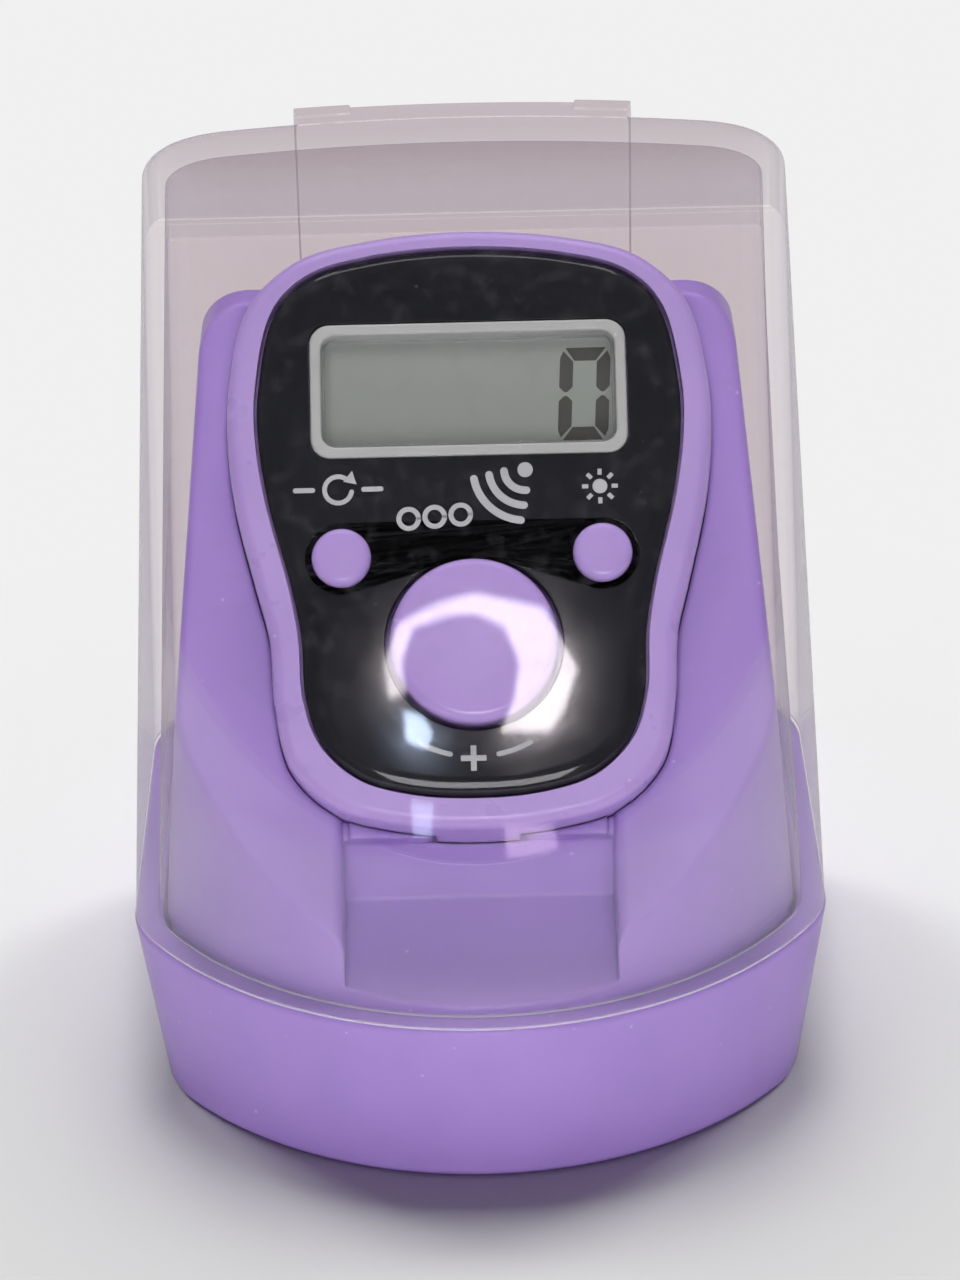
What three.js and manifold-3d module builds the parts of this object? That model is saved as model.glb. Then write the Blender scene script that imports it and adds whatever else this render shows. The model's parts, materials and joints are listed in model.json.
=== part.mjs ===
// A finger tally counter for counting prayers, in its clear-topped display case.
// The case stands on z = 0 with its front facing -Y. Millimetres, +Z up.
// The counter lies in a pocket of the tray's sloping face, under the cover's flat window.
import * as THREE from 'three';
import * as BufferGeometryUtils from 'three/addons/utils/BufferGeometryUtils.js';
import Module from 'manifold-3d';

const wasm = await Module();
wasm.setup();

// Case: outline at the rim, where the clear cover meets the coloured base
const RIM_WIDTH = 48.3;
const RIM_DEPTH = 48;
const RIM_HEIGHT = 12.3;
const FOOT_WIDTH = 44.4;
const FOOT_FRONT_INSET = 0.9;
const FOOT_BACK_INSET = 0.7;
const TOP_BACK_WIDTH = 44.6;
const TOP_FRONT_WIDTH = 40.7;
const TOP_FRONT_INSET = 1.1;
const TOP_BACK_INSET = 0.3;
const FRONT_RADIUS = 27.2;
const BACK_RADIUS = 80;
const FRONT_CORNER_RADIUS = 8;
const BACK_CORNER_RADIUS = 6.4;

// Base cup
const CUP_WALL = 2;
const CUP_FLOOR = 1.6;
const CUP_FOOT_RADIUS = 0.5;

// Clear cover
const COVER_WALL = 1.6;
const COVER_TOP_RADIUS = 1.1;
const CREASE_RISE = 12.7;
const WINDOW_LEAN = 39.5;
const WINDOW_TOP_RADIUS = 1.6;
const HEAD_ROOM = 1;
const PANEL_WIDTH = 23.8;
const PANEL_PROUD = 1.2;
const PANEL_FOOT_RISE = 1.7;
const PANEL_TOP_RISE = 0.1;
const LUG_WIDTH = 4;
const LUG_HEIGHT = 0.3;
const LUG_DEPTH = 1.7;

// Tray
const TRAY_WALL = 1.5;
const TRAY_TOP_RISE = 16.8;
const TRAY_TOP_WIDTH = 37;
const TRAY_TOP_CORNER = 2.8;
const TRAY_TOP_DEPTH = 1.9;
const TRAY_BACK_HEIGHT = 14.5;
const COUNTER_STANDS_PROUD = 3.5;
const POCKET_FLOOR = 1.4;
const SCOOP_WIDTH = 18.3;
const SCOOP_FLOOR_RISE = 0.5;
const SCOOP_FLOOR_ANGLE = 20;
const SCOOP_FLOOR_LENGTH = 9.4;
const STRAP_SLOT_WIDTH = 26.6;
const STRAP_SLOT_HEIGHT = 12;

// Counter housing. Heights in the housing are measured from its back face.
const COUNTER_THICKNESS = 12;
const COUNTER_FROM_CREASE = 23.8;
const FACE_TO_WINDOW = 3;
const HOUSING_SPLIT = 6;
const HOUSING_WALL = 1.3;
const BACK_FLOOR = 1;
const FRONT_EDGE_RADIUS = 0.9;
const BACK_EDGE_RADIUS = 1.6;
const DECK_BOTTOM = 9.35;
const DECK_THICKNESS = 1.05;

// Black front panel, silver window frame and display
const FACE_PANEL_THICKNESS = 1.3;
const FACE_PANEL_ROLL = 1.1;
const DISPLAY_UP = 9.44;
const FRAME_WIDTH = 21.4;
const FRAME_HEIGHT = 9.3;
const FRAME_BAR = 0.75;
const FRAME_CORNER = 1.35;
const FRAME_THICKNESS = 1.4;
const LENS_THICKNESS = 0.8;
const LCD_WIDTH = 21.8;
const LCD_HEIGHT = 11.2;
const LCD_THICKNESS = 1.1;
const GUIDE_WIDTH = 20;
const GUIDE_HEIGHT = 8.8;
const GUIDE_THICKNESS = 0.85;
const STRIP_WIDTH = 20;
const STRIP_HEIGHT = 1.4;
const LAMP_WIDTH = 1.6;
const LAMP_LENGTH = 2.2;

// Buttons
const COUNT_UP = -8.05;
const COUNT_RADIUS = 5.6;
const COUNT_PROUD = 1.3;
const COUNT_FLANGE_RADIUS = 6.6;
const COUNT_STEM_RADIUS = 2;
const SIDE_BUTTON_X = 8.75;
const SIDE_BUTTON_UP = -2.15;
const SIDE_BUTTON_RADIUS = 2;
const SIDE_BUTTON_PROUD = 0.9;
const SIDE_FLANGE_RADIUS = 2.7;
const SIDE_STEM_RADIUS = 1;
const BUTTON_FLANGE = 0.85;
const BUTTON_TRAVEL = 0.6;

// Circuit board, switches, sounder and cell
const BOARD_BOTTOM = 5.7;
const BOARD_THICKNESS = 0.9;
const COUNT_DOME_RADIUS = 3;
const SIDE_DOME_RADIUS = 1.6;
const DOME_HEIGHT = 0.4;
const CHIP_RADIUS = 1.9;
const CHIP_HEIGHT = 0.7;
const CHIP_UP = 1.2;
const SOUNDER_RADIUS = 5.5;
const SOUNDER_UP = 8;
const SOUNDER_THICKNESS = 0.7;
const CELL_RADIUS = 5.8;
const CELL_HEIGHT = 3.05;
const DOOR_RADIUS = 6.35;
const DOOR_EAR_REACH = 0.95;
const DOOR_EAR_WIDTH = 2.4;
const DOOR_EAR_THICKNESS = 0.45;
const DOOR_TURN = 50;
const COIN_SLOT_WIDTH = 1.3;
const COIN_SLOT_DEPTH = 0.5;
const WELL_RADIUS = 8;
const WELL_WALL = 1;
const CONTACT_THICKNESS = 0.25;
const CONTACT_WIDTH = 3;

// Screws
const UPPER_SCREW_X = 12.6;
const UPPER_SCREW_UP = 13.6;
const LOWER_SCREW_X = 10;
const LOWER_SCREW_UP = -15;
const SCREW_RADIUS = 0.6;
const SCREW_HEAD_RADIUS = 1.15;
const SCREW_HEAD_HEIGHT = 0.9;
const SCREW_BOSS_RADIUS = 1.4;
const SLEEVE_RADIUS = 2;

// Finger strap
const STRAP_WIDTH = 7.6;
const STRAP_UP = 4.2;
const STRAP_THICKNESS = 1.3;
const STRAP_SPAN = 24.6;
const STRAP_BACK_ROOM = 0.6;
const STRAP_ROUNDNESS = 0.48;
const LUG_X = 5;
const STRAP_LUG_WIDTH = 3;
const STRAP_LUG_WALL = 0.8;

// Clearances
const COVER_SEAT_GAP = 0.1;
const TRAY_GAP = 0.3;
const POCKET_GAP = 0.35;
const LAYER_GAP = 0.3;
const FIT_GAP = 0.2;
const HOLE_GAP = 0.35;
const CUT = 1;

// Segments
const OUTLINE_SEGMENTS = 60;
const ROUND_SEGMENTS = 32;
const SMALL_SEGMENTS = 16;
const ROUNDING_STEPS = 3;

const radians = (degrees) => (degrees * Math.PI) / 180;

// Solids

function solidOf(geometry) {
  const bare = geometry.clone();
  for (const name of Object.keys(bare.attributes)) {
    if (name !== 'position') bare.deleteAttribute(name);
  }
  const merged = BufferGeometryUtils.mergeVertices(bare, 1e-5);
  const vertProperties = new Float32Array(merged.attributes.position.array);
  const triVerts = new Uint32Array(merged.index.array);
  return new wasm.Manifold(new wasm.Mesh({ numProp: 3, vertProperties, triVerts }));
}

function geometryOf(solid) {
  const { vertProperties, triVerts } = solid.getMesh();
  const geometry = new THREE.BufferGeometry();
  geometry.setAttribute('position', new THREE.BufferAttribute(new Float32Array(vertProperties), 3));
  geometry.setIndex(new THREE.BufferAttribute(new Uint32Array(triVerts), 1));
  geometry.computeVertexNormals();
  return geometry;
}

function joined(solids) {
  return solids.reduce((sum, solid) => sum.add(solid));
}

function cutBy(solid, cutters) {
  return cutters.reduce((left, cutter) => left.subtract(cutter), solid);
}

function part(name, solid, material) {
  const mesh = new THREE.Mesh(geometryOf(solid), material);
  mesh.name = name;
  return mesh;
}

// Shapes

function box(x, y, z, low) {
  const geometry = new THREE.BoxGeometry(x, y, z);
  geometry.translate(low[0] + x / 2, low[1] + y / 2, low[2] + z / 2);
  return solidOf(geometry);
}

function disc(radius, bottom, top, centre = [0, 0], segments = ROUND_SEGMENTS) {
  const geometry = new THREE.CylinderGeometry(radius, radius, top - bottom, segments);
  geometry.rotateX(Math.PI / 2);
  geometry.translate(centre[0], centre[1], (bottom + top) / 2);
  return solidOf(geometry);
}

function turned(profile, centre = [0, 0], segments = ROUND_SEGMENTS) {
  const points = profile.map(([radius, height]) => new THREE.Vector2(radius, height));
  const geometry = new THREE.LatheGeometry(points, segments);
  geometry.rotateX(Math.PI / 2);
  geometry.translate(centre[0], centre[1], 0);
  return solidOf(geometry);
}

function slab(points, bottom, top) {
  const shape = new THREE.Shape(points.map(([x, y]) => new THREE.Vector2(x, y)));
  const geometry = new THREE.ExtrudeGeometry(shape, { depth: top - bottom, bevelEnabled: false });
  geometry.translate(0, 0, bottom);
  return solidOf(geometry);
}

// A shape drawn in Y and Z, extruded along X about x = 0
function sideSlab(points, width) {
  const shape = new THREE.Shape(points.map(([y, z]) => new THREE.Vector2(y, z)));
  const geometry = new THREE.ExtrudeGeometry(shape, { depth: width, bevelEnabled: false });
  geometry.translate(0, 0, -width / 2);
  geometry.applyMatrix4(new THREE.Matrix4().set(0, 0, 1, 0, 1, 0, 0, 0, 0, 1, 0, 0, 0, 0, 0, 1));
  return solidOf(geometry);
}

// A shape drawn in X and Z, extruded along Y
function frontSlab(points, near, far) {
  const shape = new THREE.Shape(points.map(([x, z]) => new THREE.Vector2(x, z)));
  const geometry = new THREE.ExtrudeGeometry(shape, { depth: far - near, bevelEnabled: false });
  geometry.rotateX(Math.PI / 2);
  geometry.translate(0, far, 0);
  return solidOf(geometry);
}

// Rings of equally many points, from the lowest to the highest, skinned and capped
function loft(rings) {
  const count = rings[0].points.length;
  const positions = [];
  const index = [];
  for (const ring of rings) {
    for (const [x, y] of ring.points) positions.push(x, y, ring.height);
  }
  for (let r = 0; r < rings.length - 1; r += 1) {
    for (let i = 0; i < count; i += 1) {
      const a = r * count + i;
      const b = r * count + ((i + 1) % count);
      index.push(a, b, b + count, a, b + count, a + count);
    }
  }
  const last = (rings.length - 1) * count;
  const bottomCap = flatTriangles(rings[0].points);
  const topCap = flatTriangles(rings[rings.length - 1].points);
  for (const [a, b, c] of bottomCap) index.push(c, b, a);
  for (const [a, b, c] of topCap) index.push(last + a, last + b, last + c);
  const geometry = new THREE.BufferGeometry();
  geometry.setAttribute('position', new THREE.Float32BufferAttribute(positions, 3));
  geometry.setIndex(index);
  return solidOf(geometry);
}

function flatTriangles(points) {
  return THREE.ShapeUtils.triangulateShape(points.map(([x, y]) => new THREE.Vector2(x, y)), []);
}

function roundedRectangle(width, height, radius, centre = [0, 0], steps = 5) {
  const points = [];
  const corners = [[1, 1, 0], [-1, 1, 90], [-1, -1, 180], [1, -1, 270]];
  for (const [sideX, sideY, start] of corners) {
    for (let i = 0; i <= steps; i += 1) {
      const angle = radians(start + (90 * i) / steps);
      points.push([
        centre[0] + sideX * (width / 2 - radius) + radius * Math.cos(angle),
        centre[1] + sideY * (height / 2 - radius) + radius * Math.sin(angle),
      ]);
    }
  }
  return points;
}

// Moves each point of an anticlockwise outline outwards along its normal
function offsetOutline(points, distance) {
  return points.map(([x, y], i) => {
    const before = points[(i + points.length - 1) % points.length];
    const after = points[(i + 1) % points.length];
    const length = Math.hypot(after[0] - before[0], after[1] - before[1]);
    return [
      x + (distance * (after[1] - before[1])) / length,
      y - (distance * (after[0] - before[0])) / length,
    ];
  });
}

// Rings that round an edge between a wall and a flat end
function roundedEdge(outline, edgeHeight, radius, inset, up) {
  const rings = [];
  for (let i = 0; i <= ROUNDING_STEPS; i += 1) {
    const angle = radians((90 * i) / ROUNDING_STEPS);
    rings.push({
      points: offsetOutline(outline, -inset - radius * (1 - Math.cos(angle))),
      height: edgeHeight - up * radius * (1 - Math.sin(angle)),
    });
  }
  return up > 0 ? rings : rings.reverse();
}

// One half of each of the counter's outlines, as [distance from the middle, height up the face]
const HOUSING_HALF = [
  [0, 20.7], [7, 20.1], [11.6, 18.8], [14.9, 15.6], [16.25, 10], [16.35, 6], [15.9, 1.7],
  [14.6, -3.8], [13.7, -7.4], [13.4, -12], [12.5, -16], [9.6, -18.9], [5.2, -20.2], [0, -20.6],
];
const PANEL_HALF = [
  [0, 19.25], [6.6, 18.7], [10.7, 17.5], [13, 15.2], [14.25, 9.6], [14.25, 6], [13.6, 1.7],
  [12.2, -3.8], [11.55, -7.4], [11.3, -11.6], [10.3, -14.6], [7.8, -17], [4.2, -18.1], [0, -18.4],
];

// Case outline: a round front and a gently bowed back between straight sides, at any height

const lean = radians(WINDOW_LEAN);
const ALONG = [Math.sin(lean), Math.cos(lean)];
const OUT = [-Math.cos(lean), Math.sin(lean)];
const FACE_OUT = -(COVER_WALL + FACE_TO_WINDOW);
const CREASE_HEIGHT = RIM_HEIGHT + CREASE_RISE;
const HEAD_ALONG = COUNTER_FROM_CREASE + HOUSING_HALF[0][1];
const HEAD_HEIGHT = CREASE_HEIGHT + ALONG[1] * HEAD_ALONG + OUT[1] * FACE_OUT;
const CASE_HEIGHT = HEAD_HEIGHT + HEAD_ROOM + COVER_WALL;
const FRONT = -(RIM_DEPTH + PANEL_PROUD) / 2;
const RIM_BACK = FRONT + RIM_DEPTH;

// The cover's sides lean in more at the front than at the back
function caseSizes(height) {
  const down = THREE.MathUtils.clamp(1 - height / RIM_HEIGHT, 0, 1);
  const up = THREE.MathUtils.clamp((height - RIM_HEIGHT) / (CASE_HEIGHT - RIM_HEIGHT), 0, 1);
  const narrower = (RIM_WIDTH - FOOT_WIDTH) * down;
  return {
    frontHalf: (RIM_WIDTH - narrower - (RIM_WIDTH - TOP_FRONT_WIDTH) * up) / 2,
    backHalf: (RIM_WIDTH - narrower - (RIM_WIDTH - TOP_BACK_WIDTH) * up) / 2,
    front: FRONT + FOOT_FRONT_INSET * down + TOP_FRONT_INSET * up,
    back: RIM_BACK - FOOT_BACK_INSET * down - TOP_BACK_INSET * up,
    frontRadius: FRONT_RADIUS - FOOT_FRONT_INSET * down,
  };
}

function arcPoints(centre, radius, from, to, steps) {
  const points = [];
  for (let i = 0; i <= steps; i += 1) {
    const angle = from + ((to - from) * i) / steps;
    points.push([centre[0] + radius * Math.cos(angle), centre[1] + radius * Math.sin(angle)]);
  }
  return points;
}

function caseOutline(height, inset) {
  const size = caseSizes(height);
  const front = size.front + inset;
  const back = size.back - inset;
  const frontR = size.frontRadius - inset;
  const backR = BACK_RADIUS - inset;
  const frontCorner = FRONT_CORNER_RADIUS - inset;
  const backCorner = BACK_CORNER_RADIUS - inset;
  const frontX = size.frontHalf - inset - frontCorner;
  const frontY = front + frontR - Math.sqrt((frontR - frontCorner) ** 2 - frontX ** 2);
  const backX = size.backHalf - inset - backCorner;
  const backY = back - backR + Math.sqrt((backR - backCorner) ** 2 - backX ** 2);
  const frontTurn = Math.asin(frontX / (frontR - frontCorner));
  const backTurn = Math.asin(backX / (backR - backCorner));
  const quarter = Math.PI / 2;
  const splay = Math.atan2(size.backHalf - size.frontHalf, backY - frontY);
  const half = [
    ...arcPoints([0, front + frontR], frontR, -quarter, -quarter + frontTurn, 7),
    ...arcPoints([frontX, frontY], frontCorner, -quarter + frontTurn, -splay, 4).slice(1),
    ...arcPoints([backX, backY], backCorner, -splay, quarter - backTurn, 5),
    ...arcPoints([0, back - backR], backR, quarter - backTurn, quarter, 4).slice(1),
  ];
  const otherHalf = half.slice(1, -1).map(([x, y]) => [-x, y]).reverse();
  return [...half, ...otherHalf];
}

function caseRing(height, inset) {
  return { points: caseOutline(height, inset), height };
}

// Window plane of the cover: it leans back from the crease on the cover's front

const CREASE = [caseSizes(CREASE_HEIGHT).front, CREASE_HEIGHT];

// A point in Y and Z, measured along the window from the crease and outwards from its surface
function windowPoint(along, out) {
  return [
    CREASE[0] + ALONG[0] * along + OUT[0] * out,
    CREASE[1] + ALONG[1] * along + OUT[1] * out,
  ];
}

const WINDOW_LENGTH = (CASE_HEIGHT - CREASE_HEIGHT) / ALONG[1];

// The space outside the window, with its top edge rounded towards the flat top
function windowCut(inset) {
  const radius = WINDOW_TOP_RADIUS - inset / 2;
  const half = (Math.PI / 2 - lean) / 2;
  const top = CASE_HEIGHT - inset;
  const low = windowPoint(-4 * WINDOW_LENGTH, -inset);
  const cornerAlong = (top - windowPoint(0, -inset)[1]) / ALONG[1];
  const corner = windowPoint(cornerAlong, -inset);
  const tangent = radius * Math.tan(half);
  const start = windowPoint(cornerAlong - tangent, -inset);
  const centre = [start[0] - OUT[0] * radius, start[1] - OUT[1] * radius];
  const from = Math.atan2(OUT[1], OUT[0]);
  const arc = arcPoints(centre, radius, from, Math.PI / 2, 5);
  const behind = corner[0] + 4 * RIM_DEPTH;
  const above = 3 * CASE_HEIGHT;
  const outline = [low, ...arc, [behind, top], [behind, above], [low[0], above]];
  return sideSlab(outline, 3 * RIM_WIDTH);
}

// Case parts

function baseCup() {
  const outer = [];
  for (let i = 0; i <= ROUNDING_STEPS; i += 1) {
    const angle = radians((90 * i) / ROUNDING_STEPS);
    const height = CUP_FOOT_RADIUS * (1 - Math.sin(angle));
    outer.unshift(caseRing(height, CUP_FOOT_RADIUS * (1 - Math.cos(angle))));
  }
  outer.push(caseRing(RIM_HEIGHT, 0));
  outer.sort((a, b) => a.height - b.height);
  const inside = loft([
    caseRing(CUP_FLOOR, CUP_WALL),
    caseRing(RIM_HEIGHT, CUP_WALL),
    { points: caseOutline(RIM_HEIGHT, CUP_WALL), height: RIM_HEIGHT + CUT },
  ]);
  return loft(outer).subtract(inside);
}

function coverBody(bottom, inset) {
  const radius = COVER_TOP_RADIUS - inset / 2;
  const top = CASE_HEIGHT - inset;
  const rings = [
    { points: caseOutline(RIM_HEIGHT, inset), height: bottom },
    caseRing(CREASE_HEIGHT, inset),
  ];
  for (let i = 0; i <= ROUNDING_STEPS + 1; i += 1) {
    const angle = radians((90 * i) / (ROUNDING_STEPS + 1));
    const height = top - radius * (1 - Math.sin(angle));
    rings.push({ points: caseOutline(height, inset + radius * (1 - Math.cos(angle))), height });
  }
  return loft(rings).subtract(windowCut(inset));
}

// A plate in plan that follows the bowed back wall, from inside the wall to proud of it
function backPlate(width, inside, proud, bottom, top, middle = 0) {
  const centre = [0, RIM_BACK - BACK_RADIUS];
  const quarter = Math.PI / 2;
  const from = quarter - (middle + width / 2) / BACK_RADIUS;
  const to = quarter - (middle - width / 2) / BACK_RADIUS;
  const outline = [
    ...arcPoints(centre, BACK_RADIUS + proud, from, to, 6),
    ...arcPoints(centre, BACK_RADIUS - inside, to, from, 6),
  ];
  return slab(outline, bottom, top);
}

function clearCover() {
  const bottom = RIM_HEIGHT + COVER_SEAT_GAP;
  const panelTop = CASE_HEIGHT + PANEL_TOP_RISE;
  const panel = backPlate(PANEL_WIDTH, COVER_WALL, PANEL_PROUD, bottom + PANEL_FOOT_RISE, panelTop);
  const lugs = [-1, 1].map((side) => backPlate(
    LUG_WIDTH,
    LUG_DEPTH - PANEL_PROUD,
    PANEL_PROUD,
    CASE_HEIGHT,
    CASE_HEIGHT + LUG_HEIGHT,
    side * (PANEL_WIDTH - LUG_WIDTH) / 2,
  ));
  return joined([coverBody(bottom, 0), panel, ...lugs]).subtract(coverBody(bottom - CUT, COVER_WALL));
}

// Counter frame: x across, y up along the face, z out of the face, from the back face's middle

const TRAY_INSET = CUP_WALL + TRAY_GAP;
const COUNTER_ORIGIN = windowPoint(COUNTER_FROM_CREASE, FACE_OUT - COUNTER_THICKNESS);

// A solid drawn in the counter's frame, moved to where the counter lies in the case
function inCase(solid) {
  return solid
    .rotate([90 - WINDOW_LEAN, 0, 0])
    .translate([0, COUNTER_ORIGIN[0], COUNTER_ORIGIN[1]]);
}

function fullOutline(half) {
  const right = half.slice(1, -1).map(([x, y]) => new THREE.Vector3(x, y, 0)).reverse();
  const left = half.slice(1, -1).map(([x, y]) => new THREE.Vector3(-x, y, 0));
  const bottom = new THREE.Vector3(0, half[half.length - 1][1], 0);
  const top = new THREE.Vector3(0, half[0][1], 0);
  const curve = new THREE.CatmullRomCurve3([bottom, ...right, top, ...left], true, 'centripetal');
  return curve.getSpacedPoints(OUTLINE_SEGMENTS).slice(0, -1).map((p) => [p.x, p.y]);
}

const HOUSING = fullOutline(HOUSING_HALF);
const FACE_PANEL = fullOutline(PANEL_HALF);
const SIDE_BUTTONS = [[-SIDE_BUTTON_X, SIDE_BUTTON_UP], [SIDE_BUTTON_X, SIDE_BUTTON_UP]];
const COUNT_CENTRE = [0, COUNT_UP];
const DISPLAY_CENTRE = [0, DISPLAY_UP];
const SCREWS = [
  [-UPPER_SCREW_X, UPPER_SCREW_UP],
  [UPPER_SCREW_X, UPPER_SCREW_UP],
  [-LOWER_SCREW_X, LOWER_SCREW_UP],
  [LOWER_SCREW_X, LOWER_SCREW_UP],
];
const SCREW_NAMES = ['screw_top_left', 'screw_top_right', 'screw_low_left', 'screw_low_right'];
const BOARD_TOP = BOARD_BOTTOM + BOARD_THICKNESS;
const DECK_TOP = DECK_BOTTOM + DECK_THICKNESS;
const FACE_PANEL_BOTTOM = COUNTER_THICKNESS - FACE_PANEL_THICKNESS;
const SCREW_HEAD_SEAT = BACK_FLOOR + SCREW_HEAD_HEIGHT;
const FRAME_TOP = FACE_PANEL_BOTTOM + FRAME_THICKNESS;

function housingFront() {
  const bottom = HOUSING_SPLIT + FIT_GAP;
  const body = loft([
    { points: HOUSING, height: bottom },
    ...roundedEdge(HOUSING, COUNTER_THICKNESS, FRONT_EDGE_RADIUS, 0, 1),
  ]);
  const cavity = slab(offsetOutline(HOUSING, -HOUSING_WALL), bottom - CUT, DECK_BOTTOM);
  const recess = slab(offsetOutline(FACE_PANEL, FIT_GAP), DECK_TOP, COUNTER_THICKNESS + CUT);
  const windowHole = slab(
    roundedRectangle(FRAME_WIDTH - FRAME_BAR, FRAME_HEIGHT - FRAME_BAR, FRAME_CORNER, DISPLAY_CENTRE),
    DECK_BOTTOM - CUT,
    DECK_TOP + CUT,
  );
  const countHole = disc(COUNT_RADIUS + HOLE_GAP, DECK_BOTTOM - CUT, DECK_TOP + CUT, COUNT_CENTRE);
  const sideHoles = SIDE_BUTTONS.map((centre) => (
    disc(SIDE_BUTTON_RADIUS + HOLE_GAP, DECK_BOTTOM - CUT, DECK_TOP + CUT, centre, SMALL_SEGMENTS)
  ));
  const bosses = SCREWS.map((centre) => (
    disc(SCREW_BOSS_RADIUS, BOARD_TOP + LAYER_GAP, DECK_BOTTOM + DECK_THICKNESS / 2, centre, SMALL_SEGMENTS)
  ));
  const pilots = SCREWS.map((centre) => (
    disc(SCREW_RADIUS + FIT_GAP, BOARD_TOP, DECK_BOTTOM - LAYER_GAP, centre, SMALL_SEGMENTS)
  ));
  const shell = cutBy(body, [cavity, recess, windowHole, countHole, ...sideHoles]);
  return cutBy(joined([shell, ...bosses]), pilots);
}

function strapLug(side) {
  const low = STRAP_UP - STRAP_WIDTH / 2 - FIT_GAP - STRAP_LUG_WALL;
  const height = STRAP_WIDTH + 2 * (FIT_GAP + STRAP_LUG_WALL);
  const x = side * LUG_X - STRAP_LUG_WIDTH / 2;
  const strapSpace = 2 * LAYER_GAP + STRAP_THICKNESS;
  const outer = box(
    STRAP_LUG_WIDTH,
    height,
    strapSpace + STRAP_LUG_WALL + BACK_FLOOR / 2,
    [x, low, -strapSpace - STRAP_LUG_WALL],
  );
  const opening = box(
    STRAP_LUG_WIDTH + 2 * CUT,
    height - 2 * STRAP_LUG_WALL,
    strapSpace,
    [x - CUT, low + STRAP_LUG_WALL, -strapSpace],
  );
  return outer.subtract(opening);
}

function housingBack() {
  const body = loft([
    ...roundedEdge(HOUSING, 0, BACK_EDGE_RADIUS, 0, -1),
    { points: HOUSING, height: HOUSING_SPLIT },
  ]);
  const cavity = loft([
    { points: offsetOutline(HOUSING, -HOUSING_WALL - BACK_EDGE_RADIUS / 2), height: BACK_FLOOR },
    { points: offsetOutline(HOUSING, -HOUSING_WALL), height: BACK_FLOOR + BACK_EDGE_RADIUS / 2 },
    { points: offsetOutline(HOUSING, -HOUSING_WALL), height: HOUSING_SPLIT + CUT },
  ]);
  const wellOuter = disc(WELL_RADIUS + WELL_WALL, BACK_FLOOR / 2, BOARD_BOTTOM - LAYER_GAP, COUNT_CENTRE);
  const wellInner = disc(WELL_RADIUS, BACK_FLOOR, BOARD_BOTTOM, COUNT_CENTRE);
  const doorHole = disc(DOOR_RADIUS + HOLE_GAP, -CUT, BACK_FLOOR + CUT, COUNT_CENTRE);
  const notch = doorEars(BACK_FLOOR + 2 * CUT, FIT_GAP)
    .translate([0, -COUNT_UP, -CUT])
    .rotate([0, 0, DOOR_TURN])
    .translate([0, COUNT_UP, 0]);
  const sleeves = SCREWS.map((centre) => (
    disc(SLEEVE_RADIUS, BACK_FLOOR / 2, BOARD_BOTTOM - LAYER_GAP, centre, SMALL_SEGMENTS)
  ));
  const holes = SCREWS.map((centre) => (
    disc(SCREW_RADIUS + FIT_GAP, -CUT, BOARD_BOTTOM, centre, SMALL_SEGMENTS)
  ));
  const headHoles = SCREWS.map((centre) => (
    disc(SCREW_HEAD_RADIUS + FIT_GAP, -CUT, SCREW_HEAD_SEAT + FIT_GAP, centre, SMALL_SEGMENTS)
  ));
  const shell = joined([body.subtract(cavity), wellOuter.subtract(wellInner), ...sleeves]);
  const within = shell.intersect(loft([
    ...roundedEdge(HOUSING, 0, BACK_EDGE_RADIUS, 0, -1),
    { points: HOUSING, height: HOUSING_SPLIT },
  ]));
  const opened = cutBy(within, [doorHole, notch, ...holes, ...headHoles]);
  return joined([opened, strapLug(-1), strapLug(1)]);
}

function facePanel() {
  const roll = FACE_PANEL_ROLL;
  const body = loft([
    { points: FACE_PANEL, height: FACE_PANEL_BOTTOM },
    { points: FACE_PANEL, height: COUNTER_THICKNESS - roll / 2 },
    { points: offsetOutline(FACE_PANEL, -0.2 * roll), height: COUNTER_THICKNESS - 0.25 * roll },
    { points: offsetOutline(FACE_PANEL, -0.6 * roll), height: COUNTER_THICKNESS - 0.07 * roll },
    { points: offsetOutline(FACE_PANEL, -1.2 * roll), height: COUNTER_THICKNESS },
  ]);
  const windowHole = slab(
    roundedRectangle(FRAME_WIDTH + FIT_GAP, FRAME_HEIGHT + FIT_GAP, FRAME_CORNER, DISPLAY_CENTRE),
    FACE_PANEL_BOTTOM - CUT,
    COUNTER_THICKNESS + CUT,
  );
  const top = COUNTER_THICKNESS + CUT;
  const countHole = disc(COUNT_RADIUS + HOLE_GAP, FACE_PANEL_BOTTOM - CUT, top, COUNT_CENTRE);
  const sideHoles = SIDE_BUTTONS.map((centre) => (
    disc(SIDE_BUTTON_RADIUS + HOLE_GAP, FACE_PANEL_BOTTOM - CUT, top, centre, SMALL_SEGMENTS)
  ));
  return cutBy(body, [windowHole, countHole, ...sideHoles]);
}

function windowFrame() {
  const innerWidth = FRAME_WIDTH - 2 * FRAME_BAR;
  const innerHeight = FRAME_HEIGHT - 2 * FRAME_BAR;
  const outer = slab(
    roundedRectangle(FRAME_WIDTH, FRAME_HEIGHT, FRAME_CORNER, DISPLAY_CENTRE),
    FACE_PANEL_BOTTOM,
    FRAME_TOP,
  );
  const inner = slab(
    roundedRectangle(innerWidth, innerHeight, FRAME_CORNER - FRAME_BAR / 2, DISPLAY_CENTRE),
    FACE_PANEL_BOTTOM - CUT,
    FRAME_TOP + CUT,
  );
  return outer.subtract(inner);
}

function displayLens() {
  const gap = 2 * FRAME_BAR + 2 * FIT_GAP;
  return slab(
    roundedRectangle(FRAME_WIDTH - gap, FRAME_HEIGHT - gap, FRAME_CORNER - FRAME_BAR, DISPLAY_CENTRE),
    FACE_PANEL_BOTTOM,
    FACE_PANEL_BOTTOM + LENS_THICKNESS,
  );
}

// A rectangular plate centred in x, from a height up the face
function plate(width, height, thickness, x, up, bottom) {
  return box(width, height, thickness, [x - width / 2, up - height / 2, bottom]);
}

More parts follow.
